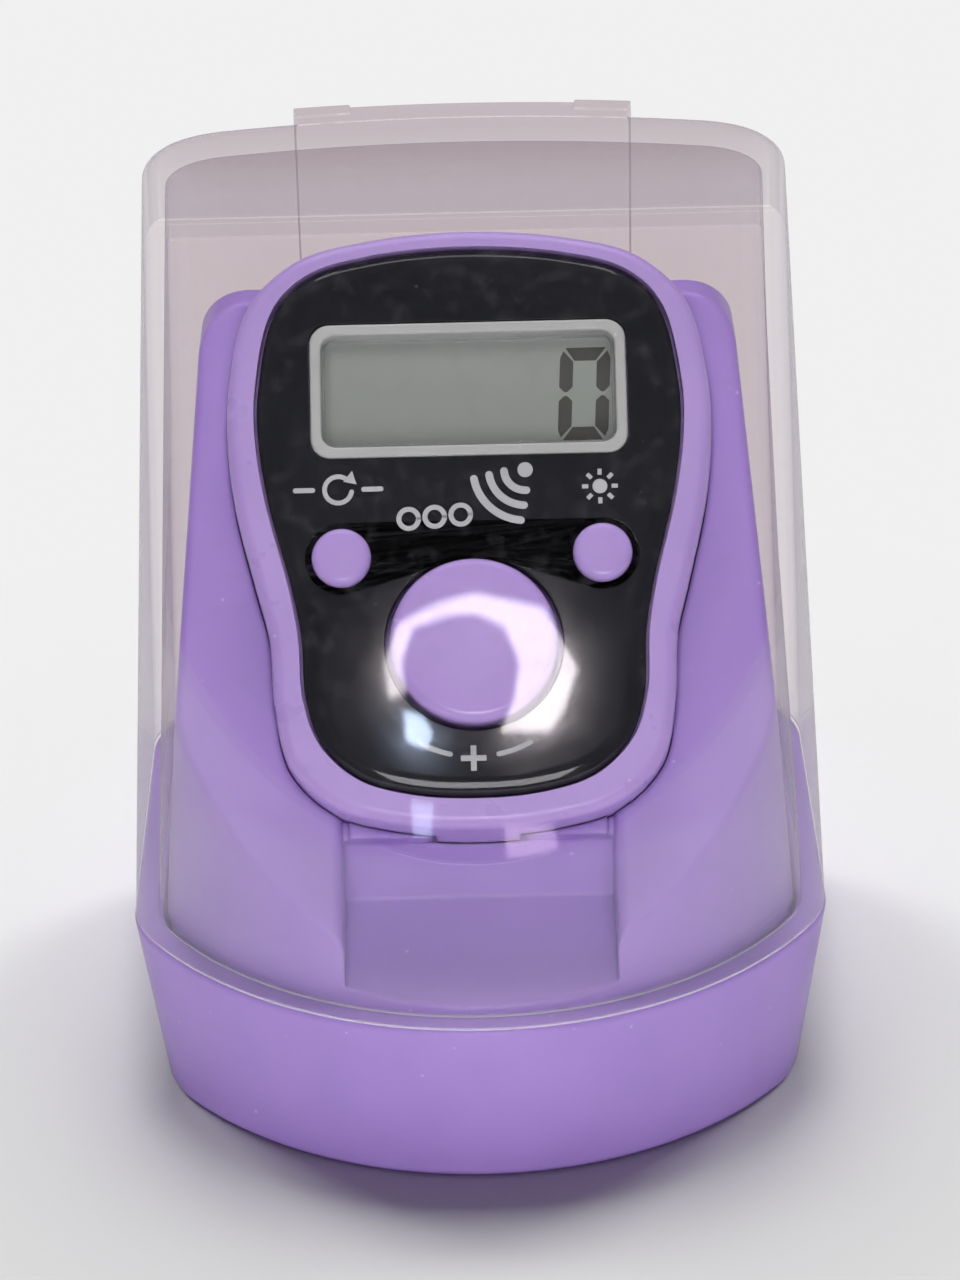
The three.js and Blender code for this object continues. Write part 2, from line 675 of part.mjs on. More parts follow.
const LCD_BOTTOM = DECK_BOTTOM - LAYER_GAP - LCD_THICKNESS;
const GUIDE_BOTTOM = BOARD_TOP + FIT_GAP;

function lcdGlass() {
  return plate(LCD_WIDTH, LCD_HEIGHT, LCD_THICKNESS, 0, DISPLAY_UP, LCD_BOTTOM);
}

function lightGuide() {
  const up = DISPLAY_UP + (LCD_HEIGHT - GUIDE_HEIGHT) / 2 - FIT_GAP;
  return plate(GUIDE_WIDTH, GUIDE_HEIGHT, GUIDE_THICKNESS, 0, up, GUIDE_BOTTOM);
}

function contactStrip() {
  const up = DISPLAY_UP - (LCD_HEIGHT - STRIP_HEIGHT) / 2;
  const thickness = LCD_BOTTOM - FIT_GAP - GUIDE_BOTTOM;
  return plate(STRIP_WIDTH, STRIP_HEIGHT, thickness, 0, up, GUIDE_BOTTOM);
}

function backlightLamp() {
  const x = (GUIDE_WIDTH + LAMP_WIDTH) / 2 + LAYER_GAP;
  return plate(LAMP_WIDTH, LAMP_LENGTH, GUIDE_THICKNESS, x, DISPLAY_UP, GUIDE_BOTTOM);
}

function circuitBoard() {
  const board = slab(
    offsetOutline(HOUSING, -HOUSING_WALL - 2 * LAYER_GAP),
    BOARD_BOTTOM,
    BOARD_TOP,
  );
  const holes = SCREWS.map((centre) => (
    disc(SCREW_RADIUS + FIT_GAP, BOARD_BOTTOM - CUT, BOARD_TOP + CUT, centre, SMALL_SEGMENTS)
  ));
  return cutBy(board, holes);
}

// A shallow cap that stands on the board
function cap(radius, height, centre, segments) {
  const profile = [[0, BOARD_TOP + FIT_GAP], [radius, BOARD_TOP + FIT_GAP]];
  for (let i = 1; i <= ROUNDING_STEPS; i += 1) {
    const angle = radians((90 * i) / ROUNDING_STEPS);
    const ringRadius = i === ROUNDING_STEPS ? 0 : radius * Math.cos(angle);
    profile.push([ringRadius, BOARD_TOP + FIT_GAP + height * Math.sin(angle)]);
  }
  return turned(profile, centre, segments);
}

function sounder() {
  const bottom = BACK_FLOOR + LAYER_GAP;
  return turned([
    [0, bottom],
    [SOUNDER_RADIUS, bottom],
    [SOUNDER_RADIUS, bottom + SOUNDER_THICKNESS / 2],
    [SOUNDER_RADIUS * 0.72, bottom + SOUNDER_THICKNESS / 2],
    [SOUNDER_RADIUS * 0.72, bottom + SOUNDER_THICKNESS],
    [0, bottom + SOUNDER_THICKNESS],
  ], [0, SOUNDER_UP]);
}

const DOOR_TOP = BACK_FLOOR + FIT_GAP + DOOR_EAR_THICKNESS;
const CELL_BOTTOM = DOOR_TOP + FIT_GAP;
const CELL_TOP = CELL_BOTTOM + CELL_HEIGHT;

// The door's two ears as one bar across it, which turns behind the edge of its hole
function doorEars(thickness, clearance) {
  const reach = 2 * (DOOR_RADIUS + DOOR_EAR_REACH + clearance);
  return plate(reach, DOOR_EAR_WIDTH + 2 * clearance, thickness, 0, COUNT_UP, 0);
}

function batteryDoor() {
  const lid = disc(DOOR_RADIUS, 0, BACK_FLOOR, COUNT_CENTRE);
  const neck = disc(DOOR_RADIUS - HOLE_GAP, BACK_FLOOR / 2, DOOR_TOP, COUNT_CENTRE);
  const ears = doorEars(DOOR_EAR_THICKNESS, 0).translate([0, 0, BACK_FLOOR + FIT_GAP]);
  const slotLength = 1.5 * DOOR_RADIUS;
  const slot = plate(slotLength, COIN_SLOT_WIDTH, COIN_SLOT_DEPTH + CUT, 0, COUNT_UP, -CUT);
  return joined([lid, neck, ears]).subtract(slot);
}

function buttonCell() {
  const step = CELL_HEIGHT * 0.28;
  const edge = CELL_HEIGHT * 0.07;
  return turned([
    [0, CELL_BOTTOM],
    [CELL_RADIUS - edge, CELL_BOTTOM],
    [CELL_RADIUS, CELL_BOTTOM + edge],
    [CELL_RADIUS, CELL_TOP - step],
    [CELL_RADIUS * 0.86, CELL_TOP - step / 2],
    [CELL_RADIUS * 0.82, CELL_TOP],
    [0, CELL_TOP],
  ], COUNT_CENTRE);
}

function contactBelowBoard() {
  const room = BOARD_BOTTOM - CELL_TOP;
  const bottom = CELL_TOP + (room - CONTACT_THICKNESS) / 2;
  return plate(CELL_RADIUS * 1.5, CONTACT_WIDTH, CONTACT_THICKNESS, 0, COUNT_UP, bottom);
}

// A strip bent round the cell's rim, against the wall of its well
function contactBesideCell() {
  const inner = CELL_RADIUS + LAYER_GAP;
  const outer = inner + CONTACT_THICKNESS;
  const turn = CONTACT_WIDTH / inner;
  const shape = [
    ...arcPoints(COUNT_CENTRE, outer, -turn, turn, 6),
    ...arcPoints(COUNT_CENTRE, inner, turn, -turn, 6),
  ];
  return slab(shape, CELL_BOTTOM, BOARD_BOTTOM - FIT_GAP);
}

function button(centre, sizes, segments) {
  const { radius, flange, stem, proud } = sizes;
  const stemBottom = BOARD_TOP + FIT_GAP + DOME_HEIGHT + BUTTON_TRAVEL + FIT_GAP / 2;
  const flangeTop = DECK_BOTTOM - LAYER_GAP;
  const top = COUNTER_THICKNESS + proud;
  const crown = 0.45 * proud;
  const profile = [
    [0, stemBottom],
    [stem, stemBottom],
    [stem, flangeTop - BUTTON_FLANGE],
    [flange, flangeTop - BUTTON_FLANGE],
    [flange, flangeTop],
    [radius, flangeTop],
    [radius, top - crown - 0.25 * proud],
  ];
  for (let i = 1; i <= 4; i += 1) {
    const angle = radians(22.5 * i);
    const ringRadius = i === 4 ? 0 : radius * Math.cos(angle) ** 0.5;
    profile.push([ringRadius, top - crown + crown * Math.sin(angle)]);
  }
  return turned(profile, centre, segments);
}

function countButton() {
  const sizes = {
    radius: COUNT_RADIUS,
    flange: COUNT_FLANGE_RADIUS,
    stem: COUNT_STEM_RADIUS,
    proud: COUNT_PROUD,
  };
  return button(COUNT_CENTRE, sizes, ROUND_SEGMENTS);
}

function sideButton(centre) {
  const sizes = {
    radius: SIDE_BUTTON_RADIUS,
    flange: SIDE_FLANGE_RADIUS,
    stem: SIDE_STEM_RADIUS,
    proud: SIDE_BUTTON_PROUD,
  };
  return button(centre, sizes, SMALL_SEGMENTS);
}

function housingScrew(centre) {
  const tip = DECK_BOTTOM - 2 * LAYER_GAP;
  return turned([
    [0, BACK_FLOOR],
    [SCREW_HEAD_RADIUS, BACK_FLOOR],
    [SCREW_HEAD_RADIUS, SCREW_HEAD_SEAT],
    [SCREW_RADIUS, SCREW_HEAD_SEAT],
    [SCREW_RADIUS, tip - SCREW_RADIUS],
    [0, tip],
  ], centre, SMALL_SEGMENTS);
}

// The strap hangs as deep as the tray's back wall leaves room for
const STRAP_BACK = RIM_BACK - TRAY_INSET - TRAY_WALL - STRAP_BACK_ROOM;
const STRAP_TOP_BACK = COUNTER_ORIGIN[0] + ALONG[0] * (STRAP_UP + STRAP_WIDTH / 2);
const STRAP_DROP = (STRAP_BACK - STRAP_TOP_BACK) / -OUT[0] - LAYER_GAP;
const STRAP_CORNER = STRAP_DROP * STRAP_ROUNDNESS;

function fingerStrap() {
  const top = -LAYER_GAP;
  const middle = top - STRAP_DROP / 2;
  const inner = 2 * STRAP_THICKNESS;
  const band = (width, height, radius, thickness) => {
    const outline = roundedRectangle(width, height, radius, [0, middle], 6);
    return frontSlab(outline, STRAP_UP - thickness / 2, STRAP_UP + thickness / 2);
  };
  const outer = band(STRAP_SPAN, STRAP_DROP, STRAP_CORNER, STRAP_WIDTH);
  const finger = band(
    STRAP_SPAN - inner,
    STRAP_DROP - inner,
    STRAP_CORNER - STRAP_THICKNESS,
    STRAP_WIDTH + 2 * CUT,
  );
  return outer.subtract(finger);
}

// Tray: a hollow lectern whose sloping face holds the counter in a pocket

const TRAY_BOTTOM = CUP_FLOOR + TRAY_GAP;
const TRAY_FACE_OUT = FACE_OUT - COUNTER_STANDS_PROUD;
const TRAY_TOP = windowPoint(COUNTER_FROM_CREASE + TRAY_TOP_RISE, TRAY_FACE_OUT)[1];

// The tray's block with every wall moved inwards by an inset, and its back open or square
function trayBody(inset, bottom, openBack) {
  const prism = loft([
    { points: caseOutline(bottom, TRAY_INSET + inset), height: bottom },
    caseRing(RIM_HEIGHT, TRAY_INSET + inset),
    caseRing(CASE_HEIGHT, TRAY_INSET + inset),
  ]);
  const foot = windowPoint(-3 * WINDOW_LENGTH, TRAY_FACE_OUT - inset);
  const along = (TRAY_TOP - inset - foot[1]) / ALONG[1];
  const head = [foot[0] + ALONG[0] * along, TRAY_TOP - inset];
  const behind = RIM_BACK + CUT;
  const slope = [
    [behind, TRAY_BACK_HEIGHT],
    [RIM_BACK - TRAY_INSET, TRAY_BACK_HEIGHT],
    [head[0] + TRAY_TOP_DEPTH, head[1]],
  ];
  const back = openBack ? slope : [[behind, head[1]]];
  const profile = sideSlab([[behind, foot[1]], ...back, head, foot], 2 * RIM_WIDTH);
  const corner = TRAY_TOP_CORNER;
  const topHalf = TRAY_TOP_WIDTH / 2 - inset;
  const footHalf = RIM_WIDTH / 2 - TRAY_INSET - inset;
  const right = [
    [footHalf, bottom - CUT],
    [footHalf, RIM_HEIGHT],
    ...arcPoints([topHalf - corner, head[1] - corner], corner, 0, Math.PI / 2, 5),
  ];
  const left = right.map(([x, z]) => [-x, z]).reverse();
  const silhouette = frontSlab([...right, ...left], FRONT - CUT, RIM_BACK + CUT);
  return prism.intersect(profile).intersect(silhouette);
}

// The thumb scoop in the tray's front, that leads under the counter's lower end
function scoop(grow) {
  const floorAngle = radians(SCOOP_FLOOR_ANGLE);
  const start = [FRONT + TRAY_INSET, RIM_HEIGHT + SCOOP_FLOOR_RISE - grow];
  const end = [
    start[0] + SCOOP_FLOOR_LENGTH * Math.cos(floorAngle),
    start[1] + SCOOP_FLOOR_LENGTH * Math.sin(floorAngle),
  ];
  const counterEnd = COUNTER_FROM_CREASE + HOUSING_HALF[HOUSING_HALF.length - 1][1];
  const pocketEnd = windowPoint(counterEnd + grow, FACE_OUT - COUNTER_THICKNESS / 2 - 2 * grow);
  const pocketLip = windowPoint(counterEnd + grow, TRAY_FACE_OUT + CUT);
  const outside = [FRONT - CUT, pocketLip[1] + CUT];
  const profile = [[FRONT - CUT, start[1]], start, end, pocketEnd, pocketLip, outside];
  return sideSlab(profile, SCOOP_WIDTH + 2 * grow);
}

function tray() {
  const tall = COUNTER_THICKNESS + 3 * CUT;
  const pocket = inCase(slab(offsetOutline(HOUSING, POCKET_GAP), -LAYER_GAP, tall));
  const pocketBlock = inCase(slab(
    offsetOutline(HOUSING, POCKET_GAP + TRAY_WALL),
    -LAYER_GAP - POCKET_FLOOR,
    tall,
  ));
  const strapSlot = inCase(plate(
    STRAP_SLOT_WIDTH,
    STRAP_SLOT_HEIGHT,
    POCKET_FLOOR + 2 * CUT,
    0,
    STRAP_UP,
    -LAYER_GAP - POCKET_FLOOR - CUT,
  ));
  const hollow = trayBody(TRAY_WALL, TRAY_BOTTOM - CUT, false);
  const cavity = cutBy(hollow, [pocketBlock, scoop(TRAY_WALL)]);
  return cutBy(trayBody(0, TRAY_BOTTOM, true), [cavity, pocket, scoop(0), strapSlot]);
}

// Materials

function plastic(color, roughness) {
  return new THREE.MeshStandardMaterial({ color, roughness, metalness: 0 });
}

function metal(color, roughness) {
  return new THREE.MeshStandardMaterial({ color, roughness, metalness: 1 });
}

const lilac = plastic(0x9f80c4, 0.38);
const paleLilac = plastic(0xab90cf, 0.35);
const glossBlack = plastic(0x232428, 0.12);
const silver = metal(0xb9bbb8, 0.3);
const displayGrey = plastic(0x888e87, 0.2);
const boardGreen = plastic(0x2f5d3a, 0.5);
const blackRubber = plastic(0x2a2a2c, 0.6);
const milky = plastic(0xe6e6dc, 0.3);
const steel = metal(0xc4c4c2, 0.25);
const brass = metal(0xc9a85a, 0.3);
const silicone = plastic(0x9677ba, 0.55);
const clear = new THREE.MeshStandardMaterial({
  color: 0xcfc6cc,
  roughness: 0.06,
  metalness: 0,
  transparent: true,
  opacity: 0.3,
});

// Assembly

const counter = new THREE.Group();
counter.position.set(0, COUNTER_ORIGIN[0], COUNTER_ORIGIN[1]);
counter.rotation.x = radians(90 - WINDOW_LEAN);
counter.add(
  part('housing_front', housingFront(), paleLilac),
  part('housing_back', housingBack(), paleLilac),
  ...SCREWS.map((centre, i) => part(SCREW_NAMES[i], housingScrew(centre), steel)),
  part('face_panel', facePanel(), glossBlack),
  part('window_frame', windowFrame(), silver),
  part('display_lens', displayLens(), clear),
  part('lcd_glass', lcdGlass(), displayGrey),
  part('light_guide', lightGuide(), milky),
  part('backlight_lamp', backlightLamp(), milky),
  part('contact_strip', contactStrip(), blackRubber),
  part('circuit_board', circuitBoard(), boardGreen),
  part('chip', cap(CHIP_RADIUS, CHIP_HEIGHT, [0, CHIP_UP], SMALL_SEGMENTS), blackRubber),
  part('count_switch', cap(COUNT_DOME_RADIUS, DOME_HEIGHT, COUNT_CENTRE, SMALL_SEGMENTS), steel),
  part('reset_switch', cap(SIDE_DOME_RADIUS, DOME_HEIGHT, SIDE_BUTTONS[0], SMALL_SEGMENTS), steel),
  part('light_switch', cap(SIDE_DOME_RADIUS, DOME_HEIGHT, SIDE_BUTTONS[1], SMALL_SEGMENTS), steel),
  part('count_button', countButton(), paleLilac),
  part('reset_button', sideButton(SIDE_BUTTONS[0]), paleLilac),
  part('light_button', sideButton(SIDE_BUTTONS[1]), paleLilac),
  part('sounder', sounder(), brass),
  part('button_cell', buttonCell(), steel),
  part('cell_contact_top', contactBelowBoard(), brass),
  part('cell_contact_side', contactBesideCell(), brass),
  part('battery_door', batteryDoor(), paleLilac),
  part('finger_strap', fingerStrap(), silicone),
);

const prayerCounter = new THREE.Group();
prayerCounter.add(
  part('base_cup', baseCup(), lilac),
  part('tray', tray(), lilac),
  part('clear_cover', clearCover(), clear),
  counter,
);

export default prayerCounter;
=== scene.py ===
import json
from math import asin, atan2, cos, hypot, pi, radians, sin, sqrt, tan

import bpy
from mathutils import Matrix, Vector

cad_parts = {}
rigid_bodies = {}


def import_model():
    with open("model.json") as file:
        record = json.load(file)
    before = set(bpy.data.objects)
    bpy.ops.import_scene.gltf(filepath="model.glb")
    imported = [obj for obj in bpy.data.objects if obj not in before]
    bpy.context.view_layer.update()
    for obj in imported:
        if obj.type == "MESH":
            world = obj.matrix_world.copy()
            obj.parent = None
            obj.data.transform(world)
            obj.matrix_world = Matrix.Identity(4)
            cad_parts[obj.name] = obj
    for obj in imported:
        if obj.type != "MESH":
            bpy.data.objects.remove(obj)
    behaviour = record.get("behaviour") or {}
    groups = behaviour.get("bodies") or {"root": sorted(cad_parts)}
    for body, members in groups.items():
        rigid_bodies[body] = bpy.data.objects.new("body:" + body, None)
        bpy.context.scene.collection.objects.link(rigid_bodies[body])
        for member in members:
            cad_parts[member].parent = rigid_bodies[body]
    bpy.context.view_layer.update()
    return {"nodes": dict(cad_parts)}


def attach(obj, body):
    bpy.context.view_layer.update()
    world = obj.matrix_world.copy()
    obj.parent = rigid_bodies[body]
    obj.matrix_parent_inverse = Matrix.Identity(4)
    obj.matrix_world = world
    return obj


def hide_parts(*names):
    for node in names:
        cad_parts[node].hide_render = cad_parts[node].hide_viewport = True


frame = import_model()
nodes = frame["nodes"]
MM = 0.001

# Case, as in the part's source
RIM_WIDTH = 48.3
RIM_HEIGHT = 12.3
FOOT_WIDTH = 44.4
FOOT_FRONT_INSET = 0.9
FOOT_BACK_INSET = 0.7
TOP_BACK_WIDTH = 44.6
TOP_FRONT_WIDTH = 40.7
TOP_FRONT_INSET = 1.1
TOP_BACK_INSET = 0.3
FRONT_RADIUS = 27.2
BACK_RADIUS = 80
FRONT_CORNER = 8
BACK_CORNER = 6.4
CUP_WALL = 2
CUP_FLOOR = 1.6
COVER_SEAM = 0.1
COVER_WALL = 1.6
COVER_ROLL = 0.45
COVER_TOP_RADIUS = 1.1
WINDOW_TOP_RADIUS = 1.6
CREASE_HEIGHT = 25
RIM_TO_TOP = 46.71
HEAD_ROOM = 1
PANEL_WIDTH = 23.8
PANEL_PROUD = 1.2
PLATE_EDGE = 0.12
LUG_WIDTH = 4
LUG_ACROSS = 9.9
TRAY_WALL = 1.5
TRAY_INSET = 2.3
TRAY_BOTTOM = 1.9
TRAY_ROLL = 0.6
TRAY_TOP_HALF = 18.5
TRAY_TOP_CORNER = 2.8
TRAY_BACK_HEIGHT = 14.5
TRAY_BACK_SHELF = 1.9
SCOOP_WIDTH = 18.3
SCOOP_FLOOR = (9.4, 20)
LIP_RADIUS = 0.8

# Counter, with heights measured from its back face
THICKNESS = 12
SPLIT = 6
HOUSING_WALL = 1.3
PANEL_BOTTOM = 10.7
DECK = (9.35, 10.4)
DISPLAY_UP = 9.44
FRAME_SIZE = (21.4, 9.3)
FRAME_BAR = 0.75
FRAME_CORNER = 1.35
FRAME_EDGE = 0.18
LCD_TOP = 9.05
COUNT_CENTRE = (0, -8.05)
COUNT_RADIUS = 5.6
COUNT_HOLE = 5.95
SIDE_BUTTONS = ((-8.75, -2.15), (8.75, -2.15))
SIDE_RADIUS = 2
SIDE_HOLE = 2.35
HOUSING_EDGES = (0.9, 1.6)
PANEL_ROLL = (1.32, 0.55)
PANEL_HOLE_EDGE = 0.12
CELL_WELL = (8.6, 8)
DOOR_HOLE = 6.7
DOOR_TURN = 50
SCREWS = ((-12.6, 13.6), (12.6, 13.6), (-10, -15), (10, -15))

# Half of each outline of the counter, as (distance from the middle, height up the face)
HOUSING_HALF = (
    (0, 20.7), (7, 20.1), (11.6, 18.8), (14.9, 15.6), (16.25, 10), (16.35, 6), (15.9, 1.7),
    (14.6, -3.8), (13.7, -7.4), (13.4, -12), (12.5, -16), (9.6, -18.9), (5.2, -20.2), (0, -20.6),
)
PANEL_HALF = (
    (0, 19.25), (6.6, 18.7), (10.7, 17.5), (13, 15.2), (14.25, 9.6), (14.25, 6), (13.6, 1.7),
    (12.2, -3.8), (11.55, -7.4), (11.3, -11.6), (10.3, -14.6), (7.8, -17), (4.2, -18.1), (0, -18.4),
)

# The window leans back at 39.5 degrees from upright, and the counter's face lies parallel to it
LEAN = radians(39.5)
ALONG = Vector((0, sin(LEAN), cos(LEAN)))
OUT = Vector((0, -cos(LEAN), sin(LEAN)))
FACE_OUT = -4.6
COUNTER_ALONG = 23.8
FRONT = -24.6
RIM_BACK = 23.4


# Camera, fitted to the photograph: it looks down on the case from the front, a little rolled
CAMERA_TILT = 28
CAMERA_ROLL = 1.33
CAMERA_AIM = (0.4, -0.7, 29.04)
CAMERA_AWAY = 288
CAMERA_LENS = 116.64


def point_camera():
    tilt, roll = radians(CAMERA_TILT), radians(CAMERA_ROLL)
    back = Vector((0, -cos(tilt), sin(tilt)))
    up = Vector((0, sin(tilt), cos(tilt)))
    right = Vector((1, 0, 0))
    across = right * cos(roll) - up * sin(roll)
    upward = right * sin(roll) + up * cos(roll)
    place = (Vector(CAMERA_AIM) + back * CAMERA_AWAY) * MM
    lens = bpy.data.cameras.new("camera")
    lens.lens = CAMERA_LENS
    camera = bpy.data.objects.new("camera", lens)
    bpy.context.scene.collection.objects.link(camera)
    turn = Matrix((across, upward, back)).transposed().to_4x4()
    camera.matrix_world = Matrix.Translation(place) @ turn
    bpy.context.scene.camera = camera
    bpy.context.scene.view_settings.view_transform = "Standard"


point_camera()


# Outlines

def arc(centre, radius, start, end, steps):
    turns = [start + (end - start) * i / steps for i in range(steps + 1)]
    return [(centre[0] + radius * cos(t), centre[1] + radius * sin(t)) for t in turns]


def disc(radius, centre=(0, 0), steps=96):
    return arc(centre, radius, 0, 2 * pi, steps)[:-1]


def rounded_rectangle(width, height, radius, centre=(0, 0), steps=10):
    points = []
    for side_x, side_y, start in ((1, 1, 0), (-1, 1, 90), (-1, -1, 180), (1, -1, 270)):
        middle = (
            centre[0] + side_x * (width / 2 - radius),
            centre[1] + side_y * (height / 2 - radius),
        )
        points += arc(middle, radius, radians(start), radians(start + 90), steps)
    return points


def offset(points, distance):
    """Moves each point of an anticlockwise outline outwards"""
    moved = []
    for i, (x, y) in enumerate(points):
        before, after = points[i - 1], points[(i + 1) % len(points)]
        run, rise = after[0] - before[0], after[1] - before[1]
        length = hypot(run, rise)
        moved.append((x + distance * rise / length, y - distance * run / length))
    return moved


def smooth_loop(half, count=200):
    """The closed centripetal curve through both halves of an outline, in even steps"""
    right = [Vector(p) for p in half[1:-1]][::-1]
    left = [Vector((-x, y)) for x, y in half[1:-1]]
    knots = [Vector(half[-1]), *right, Vector(half[0]), *left]
    fine = []
    for i in range(len(knots)):
        a, b, c, d = (knots[(i + k) % len(knots)] for k in (-1, 0, 1, 2))
        first, middle, last = (sqrt((q - p).length) for p, q in ((a, b), (b, c), (c, d)))
        start = ((b - a) / first - (c - a) / (first + middle) + (c - b) / middle) * middle
        end = ((c - b) / middle - (d - b) / (middle + last) + (d - c) / last) * middle
        for step in range(40):
            t = step / 40
            fine.append(b + start * t + (3 * (c - b) - 2 * start - end) * t * t
                        + (2 * (b - c) + start + end) * t ** 3)
    fine.append(fine[0])
    reach = [0]
    for p, q in zip(fine, fine[1:]):
        reach.append(reach[-1] + (q - p).length)
    loop, k = [], 0
    for i in range(count):
        wanted = reach[-1] * i / count
        while reach[k + 1] < wanted:
            k += 1
        share = (wanted - reach[k]) / (reach[k + 1] - reach[k])
        loop.append(tuple(fine[k].lerp(fine[k + 1], share)))
    return loop


HOUSING = smooth_loop(HOUSING_HALF)
FACE = smooth_loop(PANEL_HALF)


# Places in the case

CREASE_BACK = TOP_FRONT_INSET * (CREASE_HEIGHT - RIM_HEIGHT) / RIM_TO_TOP
CREASE = Vector((0, FRONT + CREASE_BACK, CREASE_HEIGHT))


def at_window(along, out):
    """A point in the middle of the case, measured along the window and out of its surface"""
    return CREASE + ALONG * along + OUT * out


COUNTER_ORIGIN = at_window(COUNTER_ALONG, FACE_OUT - THICKNESS)
CASE_HEIGHT = at_window(COUNTER_ALONG + HOUSING_HALF[0][1], FACE_OUT).z + HEAD_ROOM + COVER_WALL


def on_counter(x, up, out):
    return COUNTER_ORIGIN + Vector((x, 0, 0)) + ALONG * up + OUT * out


def straight(x, y, z):
    return Vector((x, y, z))


def case_outline(height, inset):
    """The case's outline in plan: a round front and a bowed back between sides that lean in"""
    down = min(max(1 - height / RIM_HEIGHT, 0), 1)
    up = min(max((height - RIM_HEIGHT) / (CASE_HEIGHT - RIM_HEIGHT), 0), 1)
    narrower = (RIM_WIDTH - FOOT_WIDTH) * down
    front_half = (RIM_WIDTH - narrower - (RIM_WIDTH - TOP_FRONT_WIDTH) * up) / 2
    back_half = (RIM_WIDTH - narrower - (RIM_WIDTH - TOP_BACK_WIDTH) * up) / 2
    front = FRONT + FOOT_FRONT_INSET * down + TOP_FRONT_INSET * up + inset
    back = RIM_BACK - FOOT_BACK_INSET * down - TOP_BACK_INSET * up - inset
    front_r = FRONT_RADIUS - FOOT_FRONT_INSET * down - inset
    back_r = BACK_RADIUS - inset
    near, far = FRONT_CORNER - inset, BACK_CORNER - inset
    near_x, far_x = front_half - inset - near, back_half - inset - far
    near_y = front + front_r - sqrt((front_r - near) ** 2 - near_x ** 2)
    far_y = back - back_r + sqrt((back_r - far) ** 2 - far_x ** 2)
    near_turn, far_turn = asin(near_x / (front_r - near)), asin(far_x / (back_r - far))
    splay = atan2(back_half - front_half, far_y - near_y)
    half = arc((0, front + front_r), front_r, -pi / 2, near_turn - pi / 2, 24)
    half += arc((near_x, near_y), near, near_turn - pi / 2, -splay, 14)[1:]
    half += arc((far_x, far_y), far, -splay, pi / 2 - far_turn, 16)
    half += arc((0, back - back_r), back_r, pi / 2 - far_turn, pi / 2, 14)[1:]
    return half + [(-x, y) for x, y in half[1:-1]][::-1]


# Modelling

def pick(*chosen):
    """Leaves only these objects selected, the first of them active"""
    bpy.ops.object.select_all(action="DESELECT")
    for piece in chosen:
        piece.select_set(True)
    bpy.context.view_layer.objects.active = chosen[0]


def tidied(piece, near=0.001, flatness=None):
    """Merges points nearer than a distance in millimetres, joins faces flatter to each other
    than an angle in degrees, and turns every face outwards"""
    pick(piece)
    bpy.ops.object.mode_set(mode="EDIT")
    bpy.ops.mesh.select_all(action="SELECT")
    bpy.ops.mesh.remove_doubles(threshold=near * MM)
    if flatness:
        bpy.ops.mesh.dissolve_limited(angle_limit=radians(flatness))
        bpy.ops.mesh.select_all(action="SELECT")
    bpy.ops.mesh.normals_make_consistent(inside=False)
    bpy.ops.object.mode_set(mode="OBJECT")
    return piece


def skinned(name, rings, hoop=False, place=straight):
    """Extrudes a ring of points to each next ring, and closes the ends or, for a hoop, joins the
    last ring to the first"""
    loops = [[place(*point) * MM for point in ring] for ring in rings]
    bpy.ops.object.select_all(action="DESELECT")
    fill = "NOTHING" if hoop else "NGON"
    bpy.ops.mesh.primitive_circle_add(vertices=len(loops[0]), radius=MM, fill_type=fill)
    piece = bpy.context.object
    piece.name = piece.data.name = name
    for vertex, point in zip(piece.data.vertices, loops[0]):
        vertex.co = point
    for before, after in zip(loops, loops[1:] + (loops[:1] if hoop else [])):
        moved = {tuple(old): new for old, new in zip(before, after)}
        bpy.ops.object.mode_set(mode="EDIT")
        bpy.ops.mesh.extrude_region_move()
        bpy.ops.object.mode_set(mode="OBJECT")
        for vertex in piece.data.vertices:
            if vertex.select:
                vertex.co = moved[tuple(vertex.co)]
    return tidied(piece)


def flat(points, height):
    return [(x, y, height) for x, y in points]


def slab(name, outline, bottom, top, place=on_counter):
    return skinned(name, [flat(outline, bottom), flat(outline, top)], place=place)


def side_slab(name, outline, width):
    """A shape drawn in Y and Z, as wide as it says about the middle"""
    rings = [[(x, y, z) for y, z in outline] for x in (-width / 2, width / 2)]
    return skinned(name, rings)


def front_slab(name, outline, near, far):
    """A shape drawn in X and Z, from near to far"""
    return skinned(name, [[(x, y, z) for x, z in outline] for y in (near, far)])


def combine(piece, operation, *others):
    for other in others:
        change = piece.modifiers.new("combine", "BOOLEAN")
        change.operation = operation
        change.solver = "EXACT"
        change.object = other
        pick(piece)
        bpy.ops.object.modifier_apply(modifier=change.name)
        bpy.data.objects.remove(other)
    return piece


def soften(piece, width, steps=3, angle=40):
    """Rounds every edge that is sharper than the angle"""
    bevel = piece.modifiers.new("soften", "BEVEL")
    bevel.width = width * MM
    bevel.segments = steps
    bevel.limit_method = "ANGLE"
    bevel.angle_limit = radians(angle)
    pick(piece)
    bpy.ops.object.modifier_apply(modifier=bevel.name)
    return piece


def soften_edges(piece, width, steps, chosen):
    """Rounds the edges whose two ends, in millimetres, are chosen"""
    tidied(piece, 0.02)
    bpy.ops.object.mode_set(mode="EDIT")
    bpy.ops.mesh.select_mode(type="EDGE")
    bpy.ops.mesh.select_all(action="DESELECT")
    bpy.ops.object.mode_set(mode="OBJECT")
    points = [v.co / MM for v in piece.data.vertices]
    for edge in piece.data.edges:
        edge.select = chosen(*(points[i] for i in edge.vertices))
    bpy.ops.object.mode_set(mode="EDIT")
    bpy.ops.mesh.bevel(offset=width * MM, segments=steps, affect="EDGES")
    bpy.ops.mesh.select_mode(type="VERT")
    bpy.ops.object.mode_set(mode="OBJECT")
    return piece


